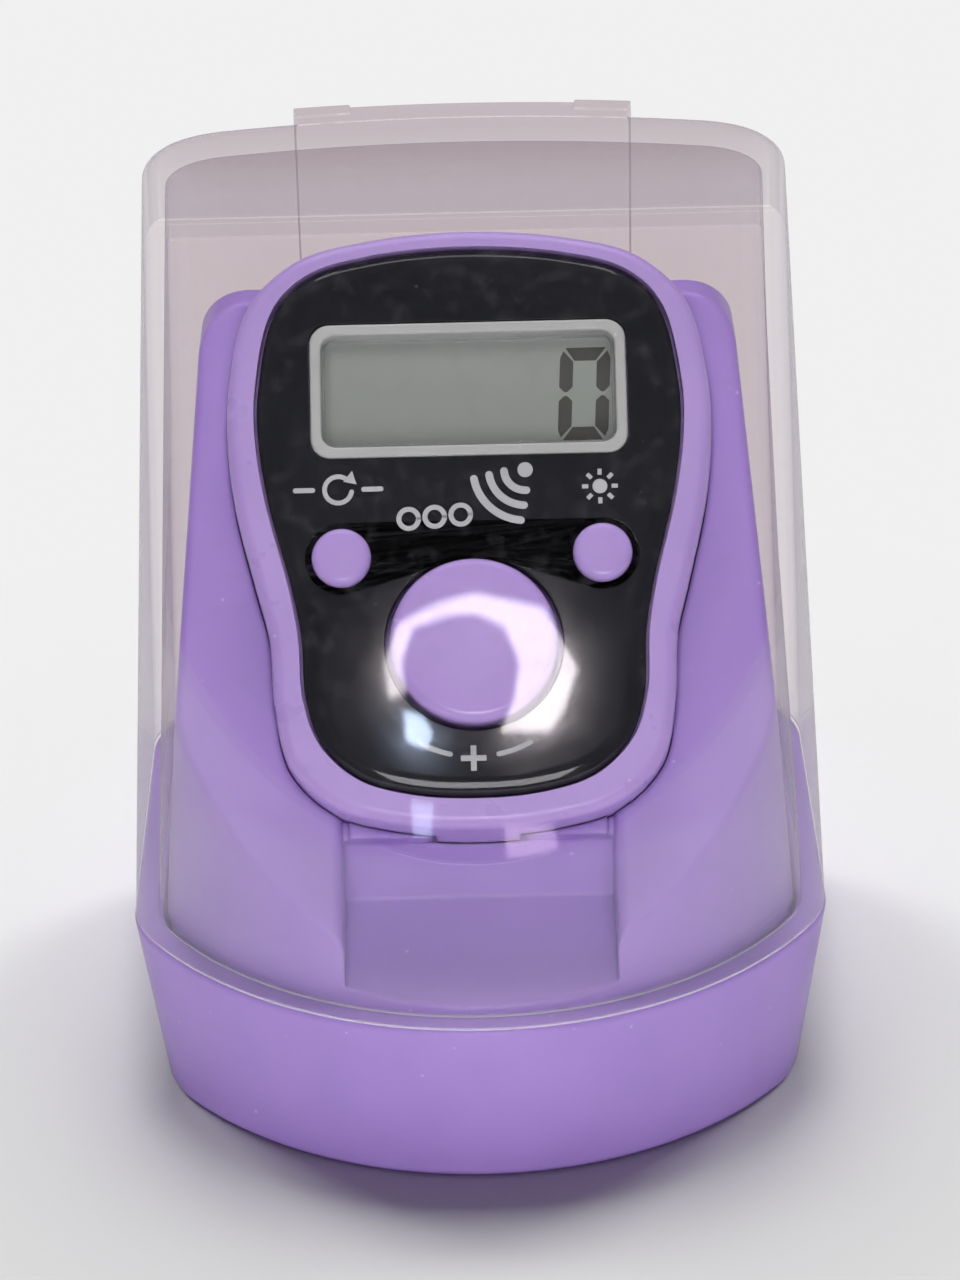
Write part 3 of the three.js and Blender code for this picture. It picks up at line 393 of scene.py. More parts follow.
def rolled(name, piece, radius, bottom):
    """The skin round balls that sit on every corner of a piece without hollows, cut off flat at
    the bottom: all its edges come out round, and it is larger by a radius on every side"""
    tidied(piece, 0.02, 0.05)
    bpy.ops.object.select_all(action="DESELECT")
    bpy.ops.mesh.primitive_uv_sphere_add(segments=16, ring_count=8, radius=radius * MM)
    ball = bpy.context.object
    ball.data.transform(Vector((0, 0, 1)).rotation_difference(OUT).to_matrix().to_4x4())
    ball.parent = piece
    piece.instance_type = "VERTS"
    pick(piece)
    bpy.ops.object.duplicates_make_real()
    balls = [o for o in bpy.context.selected_objects if o.type == "MESH" and o not in (piece, ball)]
    bpy.data.objects.remove(piece)
    bpy.data.objects.remove(ball)
    pick(*balls)
    bpy.ops.object.make_single_user(type="SELECTED_OBJECTS", object=True, obdata=True)
    bpy.ops.object.join()
    whole = bpy.context.object
    bpy.ops.object.transform_apply()
    whole.name = whole.data.name = name
    bpy.ops.object.mode_set(mode="EDIT")
    bpy.ops.mesh.select_all(action="SELECT")
    bpy.ops.mesh.convex_hull()
    bpy.ops.mesh.select_all(action="SELECT")
    bpy.ops.mesh.bisect(
        plane_co=(0, 0, bottom * MM), plane_no=(0, 0, 1), use_fill=True, clear_inner=True,
    )
    bpy.ops.object.mode_set(mode="OBJECT")
    return tidied(whole, 0.01, 0.3)


def rounding(radius, steps=5):
    """How far a rounded edge of 90 degrees steps in and stops short, from its wall to its top"""
    turns = [radians(90) * i / steps for i in range(steps + 1)]
    return [(radius * (1 - cos(t)), radius * (1 - sin(t))) for t in turns]


def dress(piece, body, slot, material, *stands_for, smooth=32):
    piece.data.materials.clear()
    piece.data.materials.append(material)
    pick(piece)
    bpy.ops.object.shade_smooth_by_angle(angle=radians(smooth))
    even = piece.modifiers.new("even_shading", "WEIGHTED_NORMAL")
    even.keep_sharp = True
    bpy.ops.object.modifier_apply(modifier=even.name)
    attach(piece, body)
    if stands_for:
        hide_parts(*stands_for)
    return piece


# Finishes

def tone(code):
    """An sRGB hex colour in linear light"""
    parts = [int(code[i:i + 2], 16) / 255 for i in (1, 3, 5)]
    return (*[c / 12.92 if c <= 0.04045 else ((c + 0.055) / 1.055) ** 2.4 for c in parts], 1)


def blank(name):
    material = bpy.data.materials.new(name)
    material.use_nodes = True
    material.node_tree.nodes.clear()
    return material


def add(material, kind, inputs=None, **settings):
    """Adds a node with its settings, and sets or links its inputs"""
    node = material.node_tree.nodes.new(kind)
    for name, value in settings.items():
        setattr(node, name, value)
    for name, value in (inputs or {}).items():
        if isinstance(value, bpy.types.NodeSocket):
            material.node_tree.links.new(value, node.inputs[name])
        else:
            node.inputs[name].default_value = value
    return node.outputs


def per_metre(size):
    """How many spots of a size in millimetres go in a metre"""
    return 1 / (size * MM)


# The part of a noise's range that most of it lies in
NOISE_RANGE = {"From Min": 0.3, "From Max": 0.7}

# Sizes in millimetres of what shows on moulded plastic: clouds in the colour, the spacing of
# specks and the patches that they lie in, the grain and depth of the skin, patches of gloss, and
# scuffs on clear plastic
CLOUD = 7
SPECK_SPACING = 1.5
SPECK_PATCH = 2.2
SKIN_GRAIN = 0.9
SKIN_DEPTH = 0.05
GLOSS_PATCH = 3
SCUFF = 1.4


def moulded(name, colour, deep, specks, gloss, peel=0.04, rough_spread=0.1, soft=0.05):
    """Injection-moulded plastic: slightly clouded colour, a few moulding specks and dust, a skin
    that is a little uneven under the light, and edges that shade as if rounded by the softness"""
    material = blank(name)
    place = add(material, "ShaderNodeTexCoord")["Object"]
    clouds = add(material, "ShaderNodeTexNoise", {
        "Vector": place, "Scale": per_metre(CLOUD), "Detail": 3,
    })
    cloud = add(material, "ShaderNodeMapRange", {"Value": clouds["Fac"], **NOISE_RANGE})
    clouded = add(material, "ShaderNodeMix", {
        0: cloud["Result"], 6: tone(deep), 7: tone(colour),
    }, data_type="RGBA")
    cells = add(material, "ShaderNodeTexVoronoi", {
        "Vector": place, "Scale": per_metre(SPECK_SPACING),
    })
    dot = add(material, "ShaderNodeMapRange", {
        "Value": cells["Distance"], "From Min": 0.05, "From Max": 0.1, "To Min": 1, "To Max": 0,
    })
    patches = add(material, "ShaderNodeTexNoise", {
        "Vector": place, "Scale": per_metre(SPECK_PATCH),
    })
    patch = add(material, "ShaderNodeMapRange", {
        "Value": patches["Fac"], "From Min": 0.54, "From Max": 0.62, "To Max": 0.55,
    })
    speck = add(material, "ShaderNodeMath", {
        0: dot["Result"], 1: patch["Result"],
    }, operation="MULTIPLY")
    body = add(material, "ShaderNodeMix", {
        0: speck["Value"], 6: clouded[2], 7: tone(specks),
    }, data_type="RGBA")
    skin = add(material, "ShaderNodeTexNoise", {
        "Vector": place, "Scale": per_metre(SKIN_GRAIN), "Detail": 3,
    })
    eased = add(material, "ShaderNodeBevel", {"Radius": soft * MM}, samples=6)
    bump = add(material, "ShaderNodeBump", {
        "Height": skin["Fac"], "Strength": peel, "Distance": SKIN_DEPTH * MM,
        "Normal": eased["Normal"],
    })
    dull = add(material, "ShaderNodeTexNoise", {
        "Vector": place, "Scale": per_metre(GLOSS_PATCH), "Detail": 4,
    })
    rough = add(material, "ShaderNodeMapRange", {
        "Value": dull["Fac"], **NOISE_RANGE, "To Min": gloss, "To Max": gloss + rough_spread,
    })
    shader = add(material, "ShaderNodeBsdfPrincipled", {
        "Base Color": body[2], "Roughness": rough["Result"], "IOR": 1.5, "Normal": bump["Normal"],
    })
    add(material, "ShaderNodeOutputMaterial", {"Surface": shader["BSDF"]})
    return material


def plain_metal(name, colour, gloss, grain):
    """Bare or plated metal: its gloss varies in streaks along the sheet it was cut from"""
    material = blank(name)
    place = add(material, "ShaderNodeTexCoord")["Object"]
    drawn_out = add(material, "ShaderNodeMapping", {"Vector": place, "Scale": (1, 12, 12)})
    streak = add(material, "ShaderNodeTexNoise", {
        "Vector": drawn_out["Vector"], "Scale": per_metre(grain), "Detail": 3,
    })
    rough = add(material, "ShaderNodeMapRange", {
        "Value": streak["Fac"], **NOISE_RANGE, "To Min": gloss, "To Max": gloss + 0.15,
    })
    shader = add(material, "ShaderNodeBsdfPrincipled", {
        "Base Color": tone(colour), "Metallic": 1.0, "Roughness": rough["Result"],
    })
    add(material, "ShaderNodeOutputMaterial", {"Surface": shader["BSDF"]})
    return material


def clear_moulded(name, tint, back_tint, edge_tint, scuffs):
    """Clear moulded plastic: it tints what lies behind it a little, more where it is seen edge
    on and in its duller back wall, and carries fine scuffs that catch the light. A painted
    highlight runs along the foot of the cover's wall, and a little painted haze lightens its
    front below the crease. Lamps shine through it, so that it throws no dark shadow."""
    material = blank(name)
    place = add(material, "ShaderNodeTexCoord")["Object"]
    parts = add(material, "ShaderNodeSeparateXYZ", {"Vector": place})
    depth, height = parts["Y"], parts["Z"]
    facing = add(material, "ShaderNodeLayerWeight", {"Blend": 0.5})["Facing"]
    steep = add(material, "ShaderNodeMath", {0: facing, 1: 3.0}, operation="POWER")["Value"]

    dull = add(material, "ShaderNodeMapRange", {
        "Value": depth, "From Min": 12 * MM, "From Max": 20 * MM,
    })
    tinted = add(material, "ShaderNodeMix", {
        0: dull["Result"], 6: tone(tint), 7: tone(back_tint),
    }, data_type="RGBA")
    colour = add(material, "ShaderNodeMix", {
        0: steep, 6: tinted[2], 7: tone(edge_tint),
    }, data_type="RGBA")
    through = add(material, "ShaderNodeBsdfTransparent", {"Color": colour[2]})
    gloss = add(material, "ShaderNodeBsdfGlossy", {"Roughness": 0.02, "Color": (1, 1, 1, 1)})
    mirror = add(material, "ShaderNodeMath", {
        0: steep, 1: 0.35, 2: 0.018,
    }, operation="MULTIPLY_ADD")
    clear = add(material, "ShaderNodeMixShader", {
        0: mirror["Value"], 1: through["BSDF"], 2: gloss["BSDF"],
    })

    fine = add(material, "ShaderNodeTexNoise", {
        "Vector": place, "Scale": per_metre(SCUFF), "Detail": 5,
    })
    marks = add(material, "ShaderNodeMapRange", {
        "Value": fine["Fac"], "From Min": 0.55, "From Max": 0.8, "To Max": scuffs,
    })
    # The foot of the wall gets a painted highlight: a thin band of haze just above the seam
    foot = (RIM_HEIGHT + COVER_SEAM) * MM
    foot_highlight_band = add(material, "ShaderNodeMapRange", {
        "Value": height, "From Min": foot + 0.03 * MM, "From Max": foot + 0.3 * MM,
        "To Min": 0.65, "To Max": 0,
    })
    wall = add(material, "ShaderNodeMath", {
        0: height, 1: foot + 0.01 * MM,
    }, operation="GREATER_THAN")
    painted_foot_highlight = add(material, "ShaderNodeMath", {
        0: foot_highlight_band["Result"], 1: wall["Value"],
    }, operation="MULTIPLY")
    # Below the crease the front wall gets a little painted haze that stands in for light and
    # lightens what is seen through it
    crease = CREASE_HEIGHT * MM
    below = add(material, "ShaderNodeMapRange", {
        "Value": height, "From Min": crease - 0.5 * MM, "From Max": crease + 0.5 * MM,
        "To Min": 0.035, "To Max": 0,
    })
    ahead = add(material, "ShaderNodeMapRange", {
        "Value": depth, "From Min": -16 * MM, "From Max": -4 * MM, "To Min": 1, "To Max": 0,
    })
    painted_haze_below_crease = add(material, "ShaderNodeMath", {
        0: below["Result"], 1: ahead["Result"],
    }, operation="MULTIPLY")
    # The haze is made of the scuffs, which are real, plus the painted highlight at the foot and the
    # painted haze below the crease, and more where the surface is seen edge on
    veil = marks["Result"]
    for more in (painted_foot_highlight, painted_haze_below_crease):
        pair = {0: veil, 1: more["Value"]}
        veil = add(material, "ShaderNodeMath", pair, operation="ADD")["Value"]
    veil = add(material, "ShaderNodeMath", {0: steep, 1: 0.3, 2: veil}, operation="MULTIPLY_ADD")
    haze = add(material, "ShaderNodeBsdfDiffuse", {"Color": tone("#d9d4dc")})
    veiled = add(material, "ShaderNodeMixShader", {
        0: veil["Value"], 1: clear["Shader"], 2: haze["BSDF"],
    })

    lamp_ray = add(material, "ShaderNodeLightPath")["Is Shadow Ray"]
    clean = add(material, "ShaderNodeBsdfTransparent", {"Color": (1, 1, 1, 1)})
    whole = add(material, "ShaderNodeMixShader", {
        0: lamp_ray, 1: veiled["Shader"], 2: clean["BSDF"],
    })
    add(material, "ShaderNodeOutputMaterial", {"Surface": whole["Shader"]})
    return material


# Moulded polystyrene with a fair shine: soft highlights along the cup and the tray's lips
lilac_polystyrene = moulded("lilac_polystyrene", "#a283cb", "#9c7ec6", "#cdbde2", 0.3, soft=0.5)
# Moulded ABS of the counter's shell: paler and a little duller than the case
pale_lilac_abs = moulded("pale_lilac_abs", "#b095d3", "#aa8fce", "#cfc2e2", 0.26, 0.03)
# Polished button tops: the same pale colour with a wetter shine
button_lilac_abs = moulded("button_lilac_abs", "#b196d6", "#ac90d1", "#cbbde0", 0.18, 0.02, 0.06)
# Polished black acrylic: a near-black mirror with a little dust
black_acrylic = moulded("black_acrylic", "#252629", "#202124", "#5b5a60", 0.05, 0.0, 0.02)
# Silver-painted trim: pale grey with a metallic shimmer
silver_paint = moulded("silver_paint", "#b2b4b1", "#a9aba8", "#d0d2cf", 0.3, 0.03)
# Display glass behind its polariser: flat grey-green with a faint sheen
display_grey = moulded("display_grey", "#adb4aa", "#a9b0a6", "#b3b9af", 0.35, 0.0, 0.05)
# Dark state of the liquid crystal
segment_dark = moulded("segment_dark", "#5a5b55", "#575852", "#66675f", 0.35, 0.01)
# Pad-printed ink: flat pale grey, a touch worn
grey_ink = moulded("grey_ink", "#b9babc", "#a9abad", "#9c9da0", 0.45, 0.03)
# Clear polystyrene of the cover, and the thin clear window in front of the display
cover_polystyrene = clear_moulded("cover_polystyrene", "#fefdfe", "#ebe4e6", "#d6d1d6", 0.03)
lens_acrylic = clear_moulded("lens_acrylic", "#fdfdfd", "#fdfdfd", "#dfe1df", 0.0)
# Soft silicone of the strap: dull, evenly coloured skin
lilac_silicone = moulded("lilac_silicone", "#9677ba", "#9273b6", "#a98fc8", 0.5, 0.08)
# Milky light guide, black rubber, resin, solder mask and metals inside the counter
milky_acrylic = moulded("milky_acrylic", "#e6e6dc", "#deded3", "#f2f2ea", 0.25, 0.02)
black_rubber = moulded("black_rubber", "#2a2a2c", "#242426", "#3a3a3c", 0.6, 0.08)
black_epoxy = moulded("black_epoxy", "#1d1d1f", "#19191b", "#2a2a2c", 0.2, 0.05)
solder_mask = moulded("solder_mask", "#2f5d3a", "#2a5534", "#c2b27a", 0.35, 0.06)
stamped_steel = plain_metal("stamped_steel", "#c4c4c2", 0.2, 0.5)
rolled_brass = plain_metal("rolled_brass", "#c9a85a", 0.25, 0.5)


# Case

def case_rings(steps):
    """Rings of the case's outline from (height, how far inside the wall)"""
    return [flat(case_outline(height, inside), height) for height, inside in steps]


def base_cup():
    """Cup with a small foot radius, a soft rim and a rounded floor inside"""
    foot = [(0.5 - 0.5 * sin(t), 0.5 - 0.5 * cos(t)) for t in (pi / 2, pi / 3, pi / 6, 0)]
    rim_out = [(RIM_HEIGHT - short, inside) for inside, short in rounding(0.35)]
    rim_in = [(height, CUP_WALL - inside) for height, inside in reversed(rim_out)]
    floor = [
        (CUP_FLOOR + 0.8 - 0.8 * sin(t), CUP_WALL + 0.8 - 0.8 * cos(t))
        for t in (0, pi / 6, pi / 3, pi / 2)
    ]
    piece = skinned("base_cup_shell", case_rings(foot + rim_out + rim_in + floor))
    dress(piece, "case", "lilac", lilac_polystyrene, "base_cup")


def window_cut(inset):
    """All that lies above the window's plane, with a rounded edge where it meets the top"""
    radius = WINDOW_TOP_RADIUS - inset / 2
    top = CASE_HEIGHT - inset
    low = at_window(-100, -inset)
    start_along = (top - at_window(0, -inset).z) / ALONG.z - radius * tan((pi / 2 - LEAN) / 2)
    start = at_window(start_along, -inset)
    centre = start - OUT * radius
    turns = arc((centre.y, centre.z), radius, atan2(OUT.z, OUT.y), pi / 2, 10)
    outline = [(low.y, low.z), *turns, (200, top), (200, 200), (low.y, 200)]
    return side_slab("window_cut", outline, 3 * RIM_WIDTH)


def cover_body(bottom, inset):
    """The space inside the cover's outside, less an inset"""
    radius = COVER_TOP_RADIUS - inset / 2
    top = CASE_HEIGHT - inset
    rings = [
        flat(case_outline(RIM_HEIGHT, inset), bottom),
        flat(case_outline(CREASE_HEIGHT, inset), CREASE_HEIGHT),
    ]
    for inside, short in rounding(radius, 6):
        rings.append(flat(case_outline(top - short, inset + inside), top - short))
    return combine(skinned("cover_body", rings), "DIFFERENCE", window_cut(inset))


def back_plate(width, inside, proud, bottom, top, middle=0):
    """A plate that follows the case's bowed back, from inside its surface to proud of it"""
    centre = (0, RIM_BACK - BACK_RADIUS)
    start = pi / 2 - (middle + width / 2) / BACK_RADIUS
    end = pi / 2 - (middle - width / 2) / BACK_RADIUS
    outline = arc(centre, BACK_RADIUS + proud, start, end, 14)
    outline += arc(centre, BACK_RADIUS - inside, end, start, 14)
    return soften(slab("back_plate", outline, bottom, top, place=straight), PLATE_EDGE, 2)


def clear_cover():
    """Clear shell with a flat slanted window, and a raised panel with two lugs on its back"""
    bottom = RIM_HEIGHT + COVER_SEAM
    cover = rolled("cover_shell", cover_body(bottom - 2, COVER_ROLL), COVER_ROLL, bottom)
    panel = back_plate(PANEL_WIDTH, COVER_WALL, PANEL_PROUD, bottom + 1.7, CASE_HEIGHT + 0.1)
    lugs = [
        back_plate(LUG_WIDTH, 0.5, PANEL_PROUD, CASE_HEIGHT, CASE_HEIGHT + 0.3, side * LUG_ACROSS)
        for side in (-1, 1)
    ]
    combine(cover, "UNION", panel, *lugs)
    combine(cover, "DIFFERENCE", cover_body(bottom - 1, COVER_WALL))
    dress(cover, "cover", "clear", cover_polystyrene, "clear_cover")


TRAY_FACE_OUT = FACE_OUT - 3.5
TRAY_TOP = at_window(COUNTER_ALONG + 16.8, TRAY_FACE_OUT).z


def tray_body(inset, bottom, open_back):
    """The lectern's outside, less an inset, with its low back cut away if it is open"""
    outside = TRAY_INSET + inset
    prism = skinned("tray_body", [
        flat(case_outline(bottom, outside), bottom),
        flat(case_outline(RIM_HEIGHT, outside), RIM_HEIGHT),
        flat(case_outline(CASE_HEIGHT, outside), CASE_HEIGHT),
    ])
    foot = at_window(-120, TRAY_FACE_OUT - inset)
    head = foot + ALONG * ((TRAY_TOP - inset - foot.z) / ALONG.z)
    back = [(40, head.z)]
    if open_back:
        back = [
            (40, TRAY_BACK_HEIGHT), (RIM_BACK - TRAY_INSET, TRAY_BACK_HEIGHT),
            (head.y + TRAY_BACK_SHELF, head.z),
        ]
    profile = [(40, foot.z), *back, (head.y, head.z), (foot.y, foot.z)]
    corner, top_half, foot_half = TRAY_TOP_CORNER, TRAY_TOP_HALF - inset, RIM_WIDTH / 2 - outside
    right = [(foot_half, bottom - 1), (foot_half, RIM_HEIGHT)]
    right += arc((top_half - corner, head.z - corner), corner, 0, pi / 2, 12)
    front = right + [(-x, z) for x, z in reversed(right)]
    return combine(prism, "INTERSECT", side_slab("profile", profile, 100),
                   front_slab("front", front, -30, 40))


def scoop(grow):
    """Space of the thumb scoop, that leads under the counter's lower end"""
    start = (FRONT + TRAY_INSET, RIM_HEIGHT + 0.5 - grow)
    length, rise = SCOOP_FLOOR[0], radians(SCOOP_FLOOR[1])
    end = (start[0] + length * cos(rise), start[1] + length * sin(rise))
    low_end = COUNTER_ALONG + HOUSING_HALF[-1][1]
    under = at_window(low_end + grow, FACE_OUT - THICKNESS / 2 - 2 * grow)
    lip = at_window(low_end + grow, TRAY_FACE_OUT + 1)
    profile = [(FRONT - 1, start[1]), start, end, (under.y, under.z), (lip.y, lip.z),
               (FRONT - 1, lip.z + 1)]
    return side_slab("scoop", profile, SCOOP_WIDTH + 2 * grow)


def lip_cut(side):
    """What a rounded lip between a side of the scoop and the tray's face leaves out"""
    radius, edge, face = LIP_RADIUS, SCOOP_WIDTH / 2, TRAY_FACE_OUT
    turn = arc((edge + radius, face - radius), radius + 0.01, pi, pi / 2, 6)
    profile = [(edge - 0.5, turn[0][1]), *turn, (turn[-1][0], face + 1), (edge - 0.5, face + 1)]
    return skinned("lip_cut", [
        [(side * x, along, out) for x, out in profile] for along in (-12, COUNTER_ALONG - 16)
    ], place=lambda x, along, out: at_window(along, out) + Vector((x, 0, 0)))


def tray():
    """Hollow lectern with the scoop, a pocket for the counter and a slot for its strap"""
    raw = tray_body(TRAY_ROLL, TRAY_BOTTOM - 2, True)
    body = rolled("tray_lectern", raw, TRAY_ROLL, TRAY_BOTTOM)
    combine(body, "DIFFERENCE", scoop(0), lip_cut(-1), lip_cut(1))
    pocket = slab("pocket", offset(HOUSING, 0.1), -0.3, 15)
    around = slab("around", offset(HOUSING, 0.35 + TRAY_WALL), -1.7, 15)
    slot = slab("strap_slot", rounded_rectangle(26.6, 12, 0.6, (0, 4.2), 4), -2.7, 0.7)
    hollow = combine(tray_body(TRAY_WALL, TRAY_BOTTOM - 1, False), "DIFFERENCE", around,
                     scoop(TRAY_WALL))
    combine(body, "DIFFERENCE", hollow, pocket, slot)
    dress(body, "case", "lilac", lilac_polystyrene, "tray")


# Counter

def housing_front():
    """Front shell: a rounded rim, a recess for the panel, and bosses for the screws"""
    rings = [flat(HOUSING, SPLIT + 0.2)]
    for inside, short in rounding(HOUSING_EDGES[0], 7):
        rings.append(flat(offset(HOUSING, -inside), THICKNESS - short))
    shell = skinned("housing_front_shell", rings, place=on_counter)
    low, top = DECK
    inside = slab("inside", offset(HOUSING, -HOUSING_WALL), SPLIT - 1, low)
    recess = slab("recess", offset(FACE, 0.2), top, THICKNESS + 1)
    opening = (FRAME_SIZE[0] - FRAME_BAR, FRAME_SIZE[1] - FRAME_BAR, FRAME_CORNER, (0, DISPLAY_UP))
    holes = [slab("window", rounded_rectangle(*opening), low - 1, top + 1)]
    holes.append(slab("hole", disc(COUNT_HOLE, COUNT_CENTRE), low - 1, top + 1))
    holes += [slab("hole", disc(SIDE_HOLE, c, 48), low - 1, top + 1) for c in SIDE_BUTTONS]
    combine(shell, "DIFFERENCE", inside, recess, *holes)
    for centre in SCREWS:
        boss = slab("boss", disc(1.4, centre, 32), 6.9, low + 0.5)
        combine(shell, "UNION", boss)
        combine(shell, "DIFFERENCE", slab("pilot", disc(0.8, centre, 32), 6.6, low - 0.3))
    dress(shell, "counter", "pale_lilac", pale_lilac_abs, "housing_front")


def strap_lug(side):
    """One of the two loops on the back that the strap goes through"""
    outer = rounded_rectangle(9.6, 3.2, 0.6, (4.2, -1.1), 4)
    opening = rounded_rectangle(8, 1.9, 0.3, (4.2, -0.95), 4)
    bars = []
    for outline, reach in ((outer, 1.5), (opening, 2.5)):
        rings = [[(side * 5 + x, up, out) for up, out in outline] for x in (-reach, reach)]
        bars.append(skinned("lug", rings, place=on_counter))
    return combine(bars[0], "DIFFERENCE", bars[1])


def housing_back():
    """Back shell with the cell's well and door hole, screw sleeves and two strap loops"""
    edge = reversed(rounding(HOUSING_EDGES[1], 7))
    rings = [flat(offset(HOUSING, -inside), short) for inside, short in edge]
    rings.append(flat(HOUSING, SPLIT))
    shell = skinned("housing_back_shell", rings, place=on_counter)
    hollow = skinned("hollow", [
        flat(offset(HOUSING, -HOUSING_WALL - 0.8), 1),
        flat(offset(HOUSING, -HOUSING_WALL), 1.8),
        flat(offset(HOUSING, -HOUSING_WALL), SPLIT + 1),
    ], place=on_counter)
    combine(shell, "DIFFERENCE", hollow)
    well = slab("well", disc(CELL_WELL[0], COUNT_CENTRE), 0.5, 5.4)
    combine(well, "DIFFERENCE", slab("well_space", disc(CELL_WELL[1], COUNT_CENTRE), 1, 6))
    combine(shell, "UNION", well)
    door_hole = slab("door_hole", disc(DOOR_HOLE, COUNT_CENTRE), -1, 2)
    combine(shell, "DIFFERENCE", door_hole)
    turn = radians(DOOR_TURN)
    turned = [
        (x * cos(turn) - y * sin(turn), x * sin(turn) + y * cos(turn) + COUNT_CENTRE[1])
        for x, y in rounded_rectangle(15, 2.8, 0.3, (0, 0), 4)
    ]
    combine(shell, "DIFFERENCE", slab("notch", turned, -1, 2))
    for centre in SCREWS:
        combine(shell, "UNION", slab("sleeve", disc(2, centre, 32), 0.5, 5.4))
        combine(shell, "DIFFERENCE", slab("screw_hole", disc(0.8, centre, 32), -1, 5.7),
                slab("head_hole", disc(1.35, centre, 32), -1, 2.1))
    combine(shell, "UNION", strap_lug(-1), strap_lug(1))
    dress(shell, "counter", "pale_lilac", pale_lilac_abs, "housing_back")


def face_panel():
    """Black front with a wide rolled edge"""
    wide, tall = PANEL_ROLL
    turns = [pi / 20 * i for i in range(11)]
    roll = [(wide * (1 - cos(t)), tall * (1 - sin(t))) for t in turns]
    rings = [flat(FACE, PANEL_BOTTOM)]
    rings += [flat(offset(FACE, -inside), THICKNESS - short) for inside, short in roll]
    panel = skinned("face_panel_shell", rings, place=on_counter)
    width, height = (length + 0.2 for length in FRAME_SIZE)
    window = rounded_rectangle(width, height, FRAME_CORNER, (0, DISPLAY_UP))
    holes = [slab("window", window, 9, 14), slab("hole", disc(COUNT_HOLE, COUNT_CENTRE), 9, 14)]
    holes += [slab("hole", disc(SIDE_HOLE, c, 64), 9, 14) for c in SIDE_BUTTONS]
    combine(panel, "DIFFERENCE", *holes)

    def round_hole(a, b):
        on_top = all(abs((p - COUNTER_ORIGIN).dot(OUT) - THICKNESS) < 0.005 for p in (a, b))
        return on_top and any(
            all(abs((p - on_counter(*c, THICKNESS)).length - r) < 0.05 for p in (a, b))
            for c, r in ((COUNT_CENTRE, COUNT_HOLE), *((c, SIDE_HOLE) for c in SIDE_BUTTONS))
        )

    soften_edges(panel, PANEL_HOLE_EDGE, 3, round_hole)
    dress(panel, "counter", "gloss_black", black_acrylic, "face_panel")


def window_frame():
    """Silver bar round the display, with small rounded edges"""
    width, height = FRAME_SIZE
    top = PANEL_BOTTOM + 1.4

    def ring(inside, out):
        corner = FRAME_CORNER - inside / 2
        return flat(rounded_rectangle(
            width - 2 * inside, height - 2 * inside, corner, (0, DISPLAY_UP)), out)

    outer = [(inside, top - short) for inside, short in rounding(FRAME_EDGE, 4)]
    inner = [(FRAME_BAR - inside, out) for inside, out in reversed(outer)]
    steps = [(0, PANEL_BOTTOM), *outer, *inner, (FRAME_BAR, PANEL_BOTTOM)]
    frame_bar = skinned("window_frame_bar", [ring(*s) for s in steps], hoop=True, place=on_counter)
    dress(frame_bar, "counter", "silver", silver_paint, "window_frame")


def display():
    """Clear window, the glass behind it and the one figure that it shows"""
    gap = 2 * FRAME_BAR + 0.4
    outline = rounded_rectangle(FRAME_SIZE[0] - gap, FRAME_SIZE[1] - gap, 0.6, (0, DISPLAY_UP))
    lens = soften(slab("display_window", outline, PANEL_BOTTOM, PANEL_BOTTOM + 0.8), 0.08, 2)
    dress(lens, "counter", "lens", lens_acrylic, "display_lens")
    outline = rounded_rectangle(21.8, 11.2, 0.15, (0, DISPLAY_UP), 3)
    glass = soften(slab("lcd_plate", outline, 7.95, LCD_TOP), 0.06, 2)
    dress(glass, "counter", "display", display_grey, "lcd_glass")
    wide, tall, bar, gap = 3.45, 6.5, 0.92, 0.07
    left, low, slant = 6, 6.42, 0.055
    across = [
        (0.35, tall), (wide - 0.35, tall), (wide - bar - gap, tall - bar), (bar + gap, tall - bar),
    ]
    upright = [
        (0, tall / 2 + 0.5), (0, tall - 0.75), (0.22, tall - 0.22), (bar, tall - bar - gap),
        (bar, tall / 2 + 0.5), (bar / 2 + 0.1, tall / 2 + 0.14), (bar / 2 - 0.1, tall / 2 + 0.14),
    ]
    marks = []
    for shape in (across, upright):
        for mirror_x in (1, -1) if shape is upright else (1,):
            for mirror_y in (1, -1):
                points = [
                    (wide / 2 + mirror_x * (x - wide / 2), tall / 2 + mirror_y * (y - tall / 2))
                    for x, y in shape
                ]
                slanted = [(left + x + slant * y, low + y) for x, y in points]
                marks.append(slab("segment", slanted, LCD_TOP + 0.01, LCD_TOP + 0.03))
    pick(*marks)
    bpy.ops.object.join()
    figure = bpy.context.object
    figure.name = figure.data.name = "display_figure"
    dress(figure, "counter", "display", segment_dark)


# Radii of each size of key behind the deck, how far its top stands proud, and how that is shaped
LARGE_KEY = {"stem": 2, "flange": 6.6, "proud": 1.3, "edge": 0.75, "dish": 0.16}
SMALL_KEY = {"stem": 1, "flange": 2.7, "proud": 0.9, "edge": 0.6, "dish": 0.1}


def button(name, body, centre, node, radius, stem, flange, proud, edge, dish):
    """A turned key: stem, flange that stops it behind the deck, and a crowned top"""
    top = THICKNESS + proud
    profile = [(stem, 7.9), (stem, 8.2), (flange, 8.2), (flange, 9.05), (radius, 9.05)]
    for inside, short in rounding(edge, 7):
        profile.append((radius - inside, top - dish - short))
    for share in (0.8, 0.6, 0.4, 0.2, 0.05):
        reach = (radius - edge) * share
        profile.append((reach, top - dish * (reach / (radius - edge)) ** 2))
    steps = 96 if radius > 3 else 56
    rings = [flat(disc(r, centre, steps), out) for r, out in profile]
    key = skinned(name, rings, place=on_counter)
    dress(key, body, "pale_lilac", button_lilac_abs, node)


# The strap hangs as deep as the tray's back wall leaves room for
STRAP_UP = 4.2
STRAP_BACK = RIM_BACK - TRAY_INSET - TRAY_WALL - 0.6
STRAP_DROP = (STRAP_BACK - COUNTER_ORIGIN.y - ALONG.y * (STRAP_UP + 3.8)) / -OUT.y - 0.3


